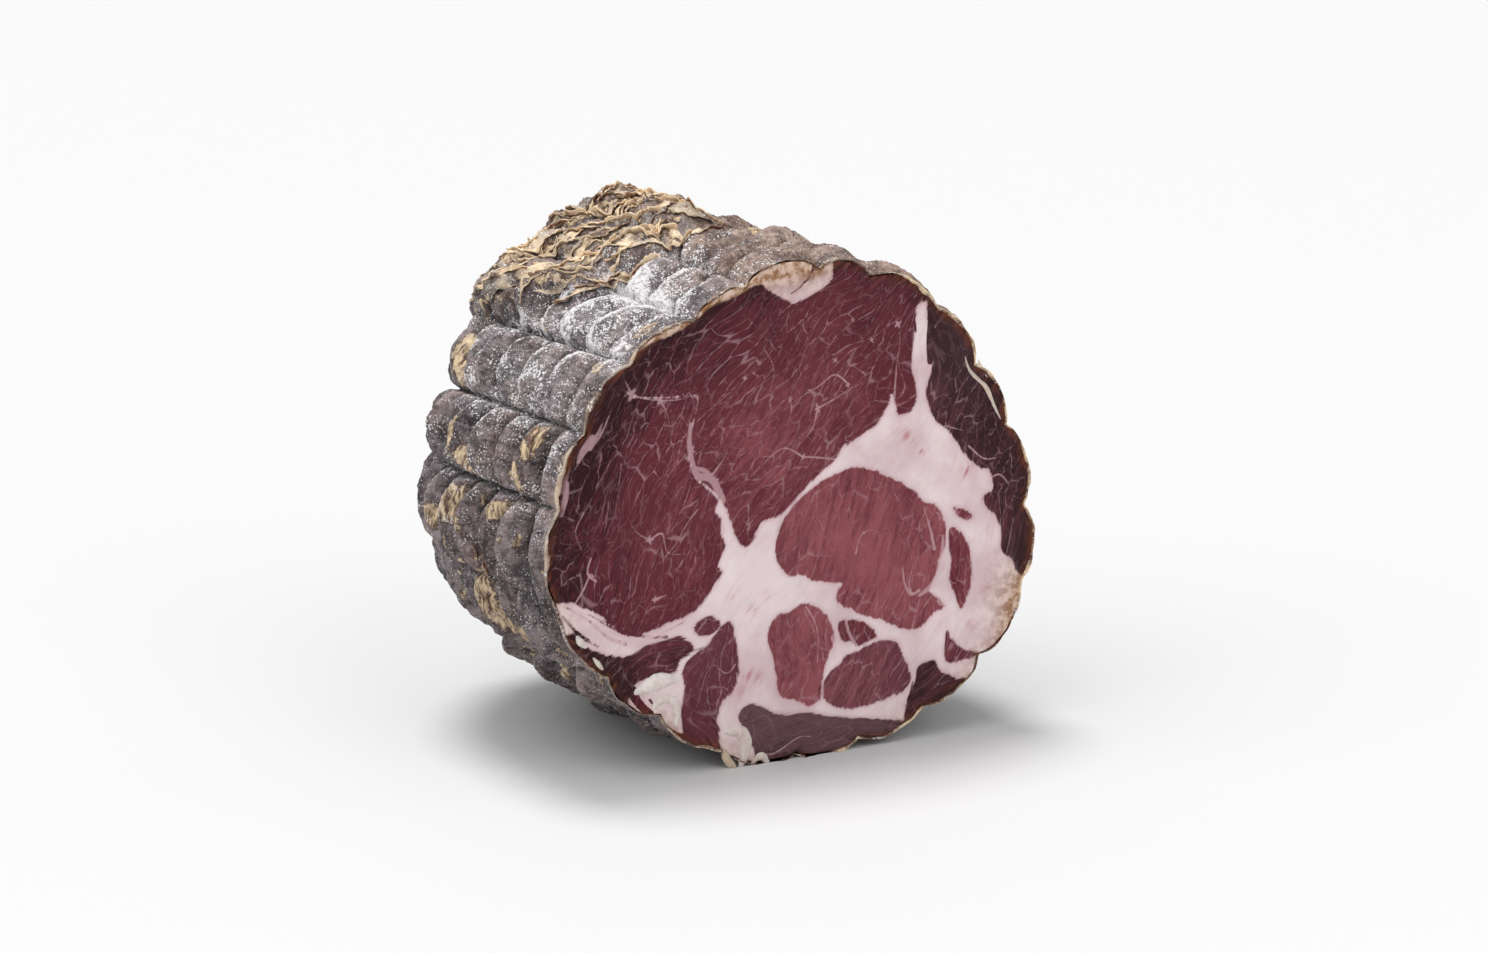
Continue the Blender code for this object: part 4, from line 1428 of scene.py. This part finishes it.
class Zone(Enum):
    """Soft zones of the cut face: middle and spread, in millimetres."""

    # Paler lean in the middle: partly its own tone, partly painted light
    GLOW = ((-6.0, 13.0), (21.0, 14.0))
    DARKEST = ((38.5, 30.0), (7.0, 8.0))
    YELLOW_RIGHT = ((50.5, -24.0), (5.5, 9.0))
    YELLOW_TOP = ((-1.0, 49.5), (10.0, 4.6))
    EYE = ((16.0, -8.0), (16.0, 13.0))
    WHITEST = ((-9.0, -13.0), (13.0, 10.0))

    def over(self, x: np.ndarray, z: np.ndarray) -> np.ndarray:
        """Strength of the zone at each place, 1 at its middle."""
        middle, spread = self.value
        return oval_bell(x, z, middle, spread)


class Side(Enum):
    """Halves of the cut face, as the stretch of the whole that each one covers from left to right."""

    LEFT = (0.0, 0.5)
    RIGHT = (0.5, 1.0)


@dataclass
class CutFace:
    """The flat cut face with its muscles, fat and marbling, in two halves."""

    skin: Skin
    columns: int = 236
    rows: int = 416
    inset: float = 0.00045
    fine_veins: int = 420
    seed: int = 17
    fat_stands: float = 0.00014
    yellow_reach: float = 0.0022
    crust_reach: float = 0.0011
    low_bend: float = 0.0015
    grain_height: float = 0.00007
    grain_size: float = 0.0022
    rim_stands: float = 0.00025
    rim_width: float = 0.0018
    crack_depth: float = 0.0006
    near: float = 0.0015

    def build(self, side: Side, material: bpy.types.Material) -> bpy.types.Object:
        """Model and paint one half.

        Args:
            side: Which half.
            material: Finish of the meat.

        Returns:
            The finished piece.
        """
        piece, share = Modeller.grid(f"cut_face_{side.name.lower()}", self.columns, self.rows)
        first, last = side.value
        whole = np.stack((first + (last - first) * share[:, 0], share[:, 1]), axis=1)
        out, bearing = disc_of(whole)
        rim = self.skin.rim_radius(bearing) - self.inset
        even = self.skin.form.section_radius(bearing) - self.skin.row_depth_at_rim * 0.4
        radius = out * (even + (rim - even) * out**6)
        turn = np.radians(bearing)
        flat = np.stack((radius * np.cos(turn), radius * np.sin(turn)), axis=1)
        edge = (1.0 - out) * rim
        fat, cracks = self.paint(piece, flat, edge)
        place = np.stack((flat[:, 0], np.zeros(len(flat)), flat[:, 1]), axis=1)
        proud = self.fat_stands * smooth_step(-0.3, 0.3, fat)
        proud += self.grain_height * self.skin.grain.rough(place, self.grain_size, 3)
        proud += self.rim_stands * smooth_step(self.rim_width, 0.0, edge) * (1.0 + self.skin.creases.at(place, 0.004))
        proud = (proud - self.crack_depth * cracks) * smooth_step(0.0, 0.0004, edge + 0.0001)
        y = SECTION_MIDDLE.y - proud
        z = SECTION_MIDDLE.z + flat[:, 1]
        z = np.where(z < self.low_bend, self.low_bend * np.exp(np.minimum(z / self.low_bend, 1.0) - 1.0), z)
        Modeller.move(piece, np.stack((SECTION_MIDDLE.x + flat[:, 0], y, z), axis=1))
        low, high = flat.min(0), flat.max(0)
        Modeller.unwrap(piece, (flat - low) / (high - low))
        return Modeller.finish(piece, material)

    def lines(self, flat: np.ndarray, veins: tuple[Vein, ...], softness: float) -> np.ndarray:
        """Paint lines of changing width.

        Args:
            flat: Places on the face.
            veins: The lines.
            softness: Width of the soft edge, in millimetres.

        Returns:
            1 on a line, easing to 0 beside it.
        """
        total = np.zeros(len(flat))
        for vein in veins:
            away, at = distance_to(rounded(vein.points, False), False, flat, 0.003)
            width = (vein.first_width + (vein.last_width - vein.first_width) * at) * MM
            on_line = 1.0 - smooth_step(0.0, 1.0, (away - width / 2.0) / (softness * MM) + 0.5)
            total = np.maximum(total, vein.strength * on_line)
        return total

    @staticmethod
    def heading(x: float, z: float) -> float:
        """Lie of the fine marbling at a place in millimetres, in degrees."""
        if x < -20.0 and z < 26.0:
            return 72.0
        return 36.0 + 30.0 * min(max((x + 4.0) / 24.0, 0.0), 1.0) - 6.0 * min(max((z - 30.0) / 15.0, 0.0), 1.0)

    def wild_veins(self) -> tuple[Vein, ...]:
        """Draw the fine marbling that runs mostly from upper right to lower left.

        Returns:
            The veins, each a short bent line with a seeded place and length.
        """
        draw = np.random.default_rng(self.seed)
        veins = []
        while len(veins) < self.fine_veins:
            start = draw.uniform((-52.0, -46.0), (50.0, 50.0))
            if start[1] < -4.0 and draw.random() < 0.55:
                continue
            lie = self.heading(*start) + (draw.normal(0.0, 9.0) if draw.random() < 0.90 else draw.uniform(-80.0, 80.0))
            turn = math.radians(lie)
            length = draw.gamma(2.0, 2.3)
            points = [start]
            for _ in range(4):
                turn += draw.normal(0.0, 0.20)
                points.append(points[-1] + length / 4.0 * np.array((math.cos(turn), math.sin(turn))))
            width, strength = draw.uniform(0.05, 0.34), draw.beta(1.4, 2.0) + 0.12
            veins.append(Vein(tuple(tuple(point) for point in points), width, 0.0, strength))
        return tuple(veins)

    def paint(self, piece: bpy.types.Object, flat: np.ndarray, edge: np.ndarray) -> tuple[np.ndarray, np.ndarray]:
        """Store where lean, fat, veins, crust and cracks lie, and how the fibres run.

        Args:
            piece: The half.
            flat: Places on the face.
            edge: Distance of each place from the rim.

        Returns:
            How far each place is inside the fat, in millimetres, negative in the lean, and how deep in a crack it is.
        """
        count = len(flat)
        fat = np.full(count, self.near)
        tone, grey, run, number = np.full(count, 0.5), np.zeros(count), np.full(count, 50.0), np.zeros(count)
        for index, muscle in enumerate(MUSCLES):
            curve = rounded(muscle.outline, True)
            away, _ = distance_to(curve, True, flat, self.near)
            inside = inside_of(curve, flat)
            fat = np.minimum(fat, np.where(inside, -away, away))
            close = inside | (away < self.near / 2.0)
            tone[close], grey[close], run[close], number[close] = muscle.tone, muscle.grey, muscle.fibre, index
        fat /= MM
        x, z = flat.T / MM
        place = np.stack((flat[:, 0], np.zeros(count), flat[:, 1]), axis=1)
        broad = self.skin.lumps.rough(place, 0.016, 2)
        dried = np.exp(-edge / 0.0065)
        # Darker towards the top left and paler in the middle: partly the lean's own tone, partly painted shade and
        # light
        top_left = smooth_step(26.0, 52.0, -0.62 * x + 0.78 * z)
        pale_and_lit_middle = Zone.GLOW.over(x, z) * (number < 2)
        tone = tone - 0.40 * top_left - 0.26 * smooth_step(-30.0, -52.0, x) - 0.24 * dried + 0.14 * broad + 0.24 * pale_and_lit_middle
        very_dark = Zone.DARKEST.over(x, z)
        run = np.radians(run + 10.0 * self.skin.creases.at(place, 0.018))
        fibre = np.stack((
            flat[:, 0] * np.cos(run) + flat[:, 1] * np.sin(run),
            -flat[:, 0] * np.sin(run) + flat[:, 1] * np.cos(run),
            number * 0.013,
        ), axis=1)
        veins = self.lines(flat, FAT_VEINS, 0.42)
        for knot_x, knot_z, radius in FAT_KNOTS:
            away = np.hypot(x - knot_x, z - knot_z) / radius
            star = 1.0 + 0.45 * np.cos(4.0 * np.arctan2(z - knot_z, x - knot_x) + knot_x)
            veins = np.maximum(veins, 1.25 * np.exp(-((away / star) ** 2)))
        uneven = np.clip(0.75 + 0.55 * self.skin.lumps.at(place, 0.009), 0.15, 1.0)
        wisp = self.lines(flat, self.wild_veins(), 0.42) * uneven * (1.0 - 0.55 * top_left)
        lean_streaks = self.lines(flat, LEAN_STREAKS, 0.4)
        fat = np.where(lean_streaks > 0.0, fat * (1.0 - lean_streaks) - 0.5 * lean_streaks, fat)
        upper_rim = np.exp(-edge / 0.0045) * bell(x, -20.0, 16.0) * (z > 20.0)
        yellow = 0.55 * np.exp(-edge / self.yellow_reach) + 0.7 * Zone.YELLOW_RIGHT.over(x, z)
        yellow += 0.95 * Zone.YELLOW_TOP.over(x, z) + upper_rim
        stain = np.zeros(count)
        for stain_x, stain_z, radius, strength in STAINS:
            away = np.hypot(x - stain_x, z - stain_z) / radius
            stain = np.maximum(stain, strength * np.exp(-(away**2)))
        crumbly = self.skin.creases.rough(place, 0.004, 2)
        crust = smooth_step(self.crust_reach * 1.6, 0.0, edge + 0.0007 * crumbly) * smooth_step(0.6, -0.2, fat)
        # Cracks: sunk into the face, and painted dark as shade inside them
        cracks = self.lines(flat, CRACKS, 0.35)
        eye = Zone.EYE.over(x, z)
        masks = {
            "fat": fat, "vein": veins, "wisp": wisp * (1.0 - 0.5 * eye),
            "tone": np.clip(tone - 0.20 * very_dark, 0.0, 1.2), "grey": np.clip(grey + 0.5 * very_dark, 0.0, 1.0),
            "stain": stain, "yellow": np.clip(yellow, 0.0, 1.0), "crust": crust * 0.85, "crack": cracks,
            "marbled": np.clip((1.0 - 0.70 * eye - 0.4 * dried) * (1.0 - 0.6 * grey), 0.0, 1.0),
            "white": Zone.WHITEST.over(x, z),
        }
        for name, values in masks.items():
            Modeller.paint(piece, name, values)
        Modeller.paint_vector(piece, "fibre", fibre)
        return fat, cracks


@dataclass(frozen=True)
class Roll:
    """A soft roll of fat or casing on the cut face: its line and its half width, in millimetres."""

    line: tuple[tuple[float, float, float], ...]
    pale: float


ROLLS = (
    Roll(((-35.6, -31.0, 0.7), (-33.8, -30.2, 1.5), (-30.8, -29.4, 1.9), (-27.8, -29.2, 1.6),
          (-25.6, -29.6, 0.7)), 1.0),
    Roll(((-31.8, -34.8, 0.6), (-30.6, -33.4, 1.2), (-28.6, -32.8, 1.1), (-26.8, -34.0, 1.2), (-26.3, -36.6, 1.1),
          (-26.9, -39.2, 0.5)), 0.95),
    Roll(((-16.6, -41.6, 0.6), (-14.2, -41.2, 1.3), (-12.0, -42.0, 1.6), (-11.2, -44.4, 1.6), (-11.6, -47.0, 1.4),
          (-12.4, -48.8, 0.6)), 0.95),
    Roll(((-16.0, -44.2, 0.4), (-15.4, -46.2, 0.9), (-14.0, -48.2, 0.8), (-13.1, -49.2, 0.3)), 0.35),
    Roll(((-9.8, -49.0, 0.4), (-9.0, -47.6, 0.8), (-7.6, -47.2, 0.9), (-6.4, -48.2, 0.8), (-6.0, -49.4, 0.4)), 0.80),
    Roll(((-47.8, -18.0, 0.4), (-47.0, -19.4, 0.9), (-45.6, -20.6, 0.6)), 0.85),
    Roll(((-44.6, -22.6, 0.3), (-43.4, -24.0, 0.65), (-42.2, -25.4, 0.4)), 0.6),
    Roll(((38.4, 27.6, 0.2), (39.6, 24.6, 0.45), (42.0, 22.2, 0.4), (43.6, 20.6, 0.55), (45.4, 17.0, 0.45),
          (47.4, 13.4, 0.2)), 0.55),
    Roll(((41.6, 26.6, 0.2), (42.4, 24.6, 0.5), (44.2, 22.4, 0.2)), 0.75),
)


@dataclass
class RimRolls:
    """Curled rolls of fat and casing at the rim, most of them where the binding pulled it in at the lower left."""

    skin: Skin
    rolls: tuple[Roll, ...] = ROLLS
    along_cells: int = 60
    round_cells: int = 24
    fullness: float = 1.05
    flatness: float = 0.74
    sunk: float = 0.34
    blunt_ends: float = 0.35
    unevenness: float = 0.09
    uneven_over: float = 0.0022

    def build(self, material: bpy.types.Material) -> bpy.types.Object:
        """Model the rolls as one piece.

        Args:
            material: Finish of the fat.

        Returns:
            The finished piece.
        """
        sheet, share = Modeller.grid("rim_rolls", self.along_cells, self.round_cells)
        places, pales = [], []
        for roll in self.rolls:
            values = np.array(roll.line)
            curve = rounded(tuple(map(tuple, values[:, :2])), False, 16)
            at = np.linspace(0.0, 1.0, len(curve))
            half = np.interp(share[:, 0], np.linspace(0.0, 1.0, len(values)), values[:, 2]) * MM
            half *= self.fullness * np.clip(np.sin(math.pi * share[:, 0]), 0.0, 1.0) ** self.blunt_ends
            middle = np.stack([np.interp(share[:, 0], at, curve[:, axis]) for axis in (0, 1)], axis=1)
            run = np.stack([np.interp(share[:, 0], at, np.gradient(curve[:, axis])) for axis in (0, 1)], axis=1)
            run /= np.maximum(np.linalg.norm(run, axis=1)[:, None], 1e-12)
            turn = share[:, 1] * math.tau
            place = np.stack((middle[:, 0], np.zeros(len(share)), middle[:, 1]), axis=1)
            uneven = self.skin.creases.rough(place + np.cos(turn)[:, None] * MM, self.uneven_over, 2)
            bumpy = half * (1.0 + self.unevenness * uneven)
            side = bumpy * np.cos(turn)
            up = bumpy * np.sin(turn) * self.flatness
            x, z = middle[:, 0] - run[:, 1] * side, middle[:, 1] + run[:, 0] * side
            places.append(in_frame(x, self.sunk * half - up, z))
            pales.append(np.full(len(share), roll.pale))
        Modeller.repeat(sheet, places)
        Modeller.paint(sheet, "pale", np.concatenate(pales))
        Modeller.close_seams(sheet)
        return Modeller.finish(sheet, material)


@dataclass
class CasingRim:
    """The cut edge of the casing round the face: a thin, torn, slightly raised lip."""

    skin: Skin
    columns: int = 4200
    profile: tuple[tuple[float, float], ...] = (
        (-0.10, 1.30), (0.02, 0.55), (0.10, 0.05), (0.06, -0.60), (-0.12, -1.00), (-0.34, -0.92), (-0.60, -0.40),
        (-1.05, 0.35),
    )
    least_height: float = 0.00008
    added_height: float = 0.00075
    behind: float = 0.0005

    def build(self, material: bpy.types.Material) -> bpy.types.Object:
        """Model the lip as a closed band.

        Args:
            material: Finish of the casing's edge.

        Returns:
            The finished piece.
        """
        steps = len(self.profile) - 1
        piece, share = Modeller.grid("casing_rim", self.columns, steps)
        bearing = share[:, 0] * 360.0 % 360.0
        turn = np.radians(bearing)
        ring = np.stack((np.cos(turn), np.zeros(len(turn)), np.sin(turn)), axis=1) * 0.05
        rough = self.skin.creases.rough(ring, 0.0045, 5)
        broad = self.skin.lumps.rough(ring, 0.011, 2)
        tall = self.least_height + self.added_height * np.clip(0.30 + 0.9 * rough, 0.0, 1.3)
        wide = MM * np.clip(0.62 + 0.75 * broad + 0.50 * rough, 0.18, 1.7)
        at = np.round(share[:, 1] * steps).astype(int)
        out, forward = (np.array(values)[at] for values in zip(*self.profile))
        radius = self.skin.rim_radius(bearing) + out * wide
        y = np.where(forward < 0.0, forward * tall, forward * self.behind)
        Modeller.move(piece, in_frame(radius * np.cos(turn), y, radius * np.sin(turn)))
        inner = np.where(at >= 5, 0.35, 0.0)
        tone = 0.36 + 0.85 * broad + 0.55 * self.skin.grain.rough(ring, 0.0025, 3) - inner
        right_side = smooth_step(-0.3, 0.5, np.cos(turn + 0.3))
        Modeller.paint(piece, "tone", np.clip(tone + 0.25 * right_side, 0.0, 1.0))
        grey = 0.55 - 0.7 * right_side + 0.8 * self.skin.creases.at(ring, 0.007)
        Modeller.paint(piece, "grey", np.clip(grey, 0.0, 1.0))
        Modeller.paint(piece, "mould", np.clip(0.15 + 0.5 * self.skin.lumps.at(ring, 0.004), 0.0, 0.5))
        Modeller.unwrap(piece, share)
        Modeller.close_seams(piece)
        return Modeller.finish(piece, material)


@dataclass(frozen=True)
class FlakeField:
    """A stretch of skin with loose flakes: number, bearings, depths, heading, size range in metres and tones."""

    count: int
    bearings: tuple[float, float]
    depths: tuple[float, float]
    heading: float
    length: tuple[float, float]
    width: tuple[float, float]
    lift: float
    grey: float
    tone: float


@dataclass
class Flakes:
    """Loose, curled flakes of casing, lying over each other in the fold and here and there on the ribs."""

    skin: Skin
    fields: tuple[FlakeField, ...] = (
        FlakeField(40, (88.0, 124.0), (0.027, 0.068), 122.0, (0.006, 0.013), (0.0012, 0.0028), 0.0009, 0.20, 0.42),
        FlakeField(26, (92.0, 133.0), (0.027, 0.068), 122.0, (0.006, 0.012), (0.0026, 0.0044), 0.0005, 0.90, 0.32),
        FlakeField(26, (90.0, 118.0), (0.028, 0.062), 122.0, (0.004, 0.010), (0.0005, 0.0013), 0.0011, 0.05, 0.88),
        FlakeField(14, (118.0, 133.0), (0.032, 0.066), 118.0, (0.003, 0.008), (0.0006, 0.0014), 0.0006, 0.40, 0.58),
        FlakeField(7, (158.0, 208.0), (0.012, 0.050), 88.0, (0.003, 0.006), (0.0009, 0.0016), 0.0003, 0.40, 0.10),
        FlakeField(8, (215.0, 440.0), (0.006, 0.080), 88.0, (0.003, 0.006), (0.0009, 0.0016), 0.0003, 0.55, 0.10),
    )
    along_cells: int = 24
    across_cells: int = 6
    thickness: float = 0.00016
    depth_limits: tuple[float, float] = (0.0012, 0.086)
    ripple: float = 0.00016
    ripple_length: float = 0.0011
    clearance: float = 0.00012
    seed: int = 41

    def build(self, material: bpy.types.Material) -> bpy.types.Object:
        """Model every flake from one grid and join them.

        Args:
            material: Finish of the flakes.

        Returns:
            The finished piece.
        """
        sheet, share = Modeller.grid("casing_flakes", self.along_cells, self.across_cells)
        draw = np.random.default_rng(self.seed)
        places, tones, greys = [], [], []
        for field_ in self.fields:
            bearings = draw.uniform(*field_.bearings, field_.count) % 360.0
            depths = draw.uniform(*field_.depths, field_.count)
            if field_.lift > 0.0004:
                kept = self.skin.fold_cover(bearings, depths) > 0.25
                bearings, depths = bearings[kept], depths[kept]
            for bearing, depth in zip(bearings, depths):
                places.append(self.flake(share, bearing, depth, field_, draw))
                free = np.clip(share[:, 1] * 1.3 - 0.25, 0.0, 1.0)
                uneven = 0.24 * np.sin(share[:, 0] * draw.uniform(5.0, 14.0) + draw.uniform(0.0, math.tau))
                tones.append(np.clip(draw.normal(field_.tone, 0.16) + 0.35 * free**2 + uneven, 0.0, 1.0))
                greys.append(np.clip(draw.normal(field_.grey, 0.24) - 0.30 * free**2 - uneven, 0.0, 1.0))
        Modeller.repeat(sheet, places)
        Modeller.paint(sheet, "tone", np.concatenate(tones))
        Modeller.paint(sheet, "grey", np.concatenate(greys))
        Modeller.paint(sheet, "mould", np.full(len(sheet.data.vertices), 0.16))
        solid = sheet.modifiers.new("thickness", "SOLIDIFY")
        solid.thickness = self.thickness
        solid.offset = 0.0
        bpy.ops.object.modifier_apply(modifier=solid.name)
        return Modeller.finish(sheet, material)

    def flake(
        self, share: np.ndarray, bearing: float, depth: float, kind: FlakeField, draw: np.random.Generator,
    ) -> np.ndarray:
        """Lay one flake on the skin.

        Args:
            share: Shares along and across the sheet.
            bearing: Bearing of its middle.
            depth: Depth of its middle.
            kind: The field it belongs to.
            draw: Random draw.

        Returns:
            Places of its vertices.
        """
        heading = math.radians(kind.heading + draw.normal(0.0, 13.0))
        length = draw.uniform(*kind.length)
        width = draw.uniform(*kind.width)
        bend = draw.normal(0.0, 0.35)
        run = (share[:, 0] - 0.5) * length
        taper = 1.0 - np.abs(share[:, 0] * 2.0 - 1.0) ** 2.4 * 0.85
        side = (share[:, 1] - 0.5) * width * taper + bend * run**2 / length
        wave = draw.uniform(0.0, math.tau)
        side = side + 0.12 * width * np.sin(run / length * 9.0 + wave)
        round_skin = run * math.sin(heading) - side * math.cos(heading)
        back = run * math.cos(heading) + side * math.sin(heading)
        bearings = (bearing + round_skin / self.skin.skin_per_degree) % 360.0
        depths = np.clip(depth - back, *self.depth_limits)
        line = self.skin.ribs_at(np.array([bearing]), np.array([depth]))[0]
        slope = self.skin.rib_pitch * 0.128
        ribs = np.clip(line + (depths - depth) / slope, 0.5, self.skin.rib_count)
        spot = self.skin.spot(self.skin.rows_of(bearings), ribs)
        rest = self.skin.height(spot)
        settled = 0.7 * rest + 0.3 * rest.mean()
        curl = kind.lift * draw.uniform(0.4, 1.3) * share[:, 1] ** 1.6
        ripple = self.ripple * np.sin(run / self.ripple_length + wave) * share[:, 1]
        return self.skin.points(spot, np.maximum(settled, rest) + self.clearance + curl + ripple)


@dataclass
class MouldGrains:
    """Grains of white mould that stand on the casing."""

    skin: Skin
    complexion: Complexion
    tried: int = 26000
    kept_at_most: int = 7600
    least: float = 0.00007
    most: float = 0.00021
    seed: int = 71

    def build(self, material: bpy.types.Material) -> bpy.types.Object:
        """Scatter the grains where the mould is thick.

        Args:
            material: Finish of the mould.

        Returns:
            The finished piece.
        """
        bpy.ops.object.select_all(action="DESELECT")
        bpy.ops.mesh.primitive_ico_sphere_add(subdivisions=1, radius=1.0)
        piece = bpy.context.object
        piece.name = piece.data.name = "mould_grains"
        unit = Modeller.places(piece)
        draw = np.random.default_rng(self.seed)
        rows = draw.uniform(0.0, 20.0, self.tried)
        ribs = draw.uniform(self.skin.first_rib_cut_at + 0.05, self.skin.rib_count - 0.1, self.tried)
        spot = self.skin.spot(rows, ribs)
        height = self.skin.height(spot)
        chance = self.complexion.mould(spot) ** 2.0
        kept = np.nonzero(draw.random(self.tried) < chance)[0][: self.kept_at_most]
        middles = self.skin.points(spot, height)[kept]
        size = draw.uniform(self.least, self.most, len(kept))[:, None, None]
        squash = draw.uniform(0.55, 1.0, (len(kept), 1, 3))
        places = middles[:, None, :] + unit[None, :, :] * size * squash
        places[:, :, 2] = np.maximum(places[:, :, 2], 0.0)
        Modeller.repeat(piece, places)
        return Modeller.finish(piece, material)


@dataclass
class Studio:
    """Pale floor, soft light and the camera at the photograph's angle."""

    azimuth: float = -30.0
    elevation: float = 12.0
    lens: float = 100.0
    sensor: float = 36.0
    distance: float = 0.795
    picture: tuple[int, int] = (1488, 953)
    # Where the middle of the cut face appears, and that middle from the middle of the section
    face_pixel: tuple[float, float] = (790.0, 511.0)
    face_from_section: Vector = field(default_factory=lambda: Vector((-0.001276, 0.0, 0.000842)))
    floor_size: float = 8.0
    floor_colour: tuple[float, float, float, float] = (0.655, 0.655, 0.66, 1.0)
    sky: float = 0.40
    lights: tuple[tuple[str, tuple[float, float, float], float, float], ...] = (
        ("key", (-0.02, 0.25, 1.0), 22.0, 2.15),
        ("above", (0.0, 0.10, 1.0), 120.0, 0.30),
        ("left", (-0.85, -0.10, 0.95), 60.0, 1.15),
        ("front", (0.15, -1.0, 0.70), 40.0, 0.55),
    )

    def camera(self) -> None:
        """Set up the camera so that the face falls on its pixel."""
        turn = math.radians(self.azimuth)
        tilt = math.radians(self.elevation)
        right = Vector((math.cos(turn), math.sin(turn), 0.0))
        ahead = Vector((-math.sin(turn) * math.cos(tilt), math.cos(turn) * math.cos(tilt), -math.sin(tilt)))
        above = right.cross(ahead)
        pixels = self.lens / self.sensor * self.picture[0]
        off_x = (self.face_pixel[0] - self.picture[0] / 2.0) / pixels
        off_y = (self.face_pixel[1] - self.picture[1] / 2.0) / pixels
        target = SECTION_MIDDLE + self.face_from_section
        spot = target - (ahead + right * off_x - above * off_y) * self.distance
        data = bpy.data.cameras.new("camera")
        data.lens = self.lens
        data.sensor_width = self.sensor
        data.dof.use_dof = False
        data.clip_start = 0.01
        camera = bpy.data.objects.new("camera", data)
        turned = Matrix((right, above, -ahead)).transposed().to_4x4()
        camera.matrix_world = Matrix.Translation(spot) @ turned
        bpy.context.scene.collection.objects.link(camera)
        bpy.context.scene.camera = camera

    def light(self, name: str, towards: tuple[float, float, float], softness: float, strength: float) -> None:
        """Add a wide, far light.

        Args:
            name: Name of the light.
            towards: Direction from the object to the light.
            softness: Angle that the light spans, in degrees.
            strength: Its strength.
        """
        data = bpy.data.lights.new(name, "SUN")
        data.angle = math.radians(softness)
        data.energy = strength
        lamp = bpy.data.objects.new(name, data)
        lamp.rotation_euler = (-Vector(towards)).to_track_quat("-Z", "Y").to_euler()
        bpy.context.scene.collection.objects.link(lamp)

    def floor(self) -> None:
        """Lay the pale floor."""
        bpy.ops.object.select_all(action="DESELECT")
        bpy.ops.mesh.primitive_plane_add(size=self.floor_size)
        plane = bpy.context.object
        plane.name = "floor"
        material = bpy.data.materials.new("pale_floor")
        material.use_nodes = True
        shader = material.node_tree.nodes["Principled BSDF"]
        shader.inputs["Base Color"].default_value = self.floor_colour
        shader.inputs["Roughness"].default_value = 0.6
        shader.inputs["Specular IOR Level"].default_value = 0.2
        plane.data.materials.append(material)

    def build(self) -> None:
        """Make the whole studio."""
        self.camera()
        self.floor()
        for light in self.lights:
            self.light(*light)
        world = bpy.data.worlds.new("studio")
        world.use_nodes = True
        world.node_tree.nodes["Background"].inputs["Color"].default_value = (1.0, 1.0, 1.0, 1.0)
        world.node_tree.nodes["Background"].inputs["Strength"].default_value = self.sky
        bpy.context.scene.world = world
        bpy.context.scene.view_settings.view_transform = "Standard"


def main() -> None:
    """Build the studio, the finishes and every piece, in order."""
    logging.basicConfig(level=logging.INFO, format="%(name)s: %(message)s")
    Studio().build()
    effects = Effects()
    skin = Skin()
    complexion = Complexion(skin)
    casing = Casing(skin, complexion)
    casing_finish = CasingFinish().build(effects)
    for region in Region:
        casing.stretch(region, casing_finish)
    casing.gathered_end(casing_finish)
    face = CutFace(skin)
    meat_finish = MeatFinish().build(effects)
    for side in Side:
        face.build(side, meat_finish)
    RimRolls(skin).build(RollFinish().build(effects))
    edge_finish = RimFinish().build(effects)
    CasingRim(skin).build(edge_finish)
    Flakes(skin).build(edge_finish)
    MouldGrains(skin, complexion).build(MouldFinish().build(effects))


if __name__ == "__main__":
    main()
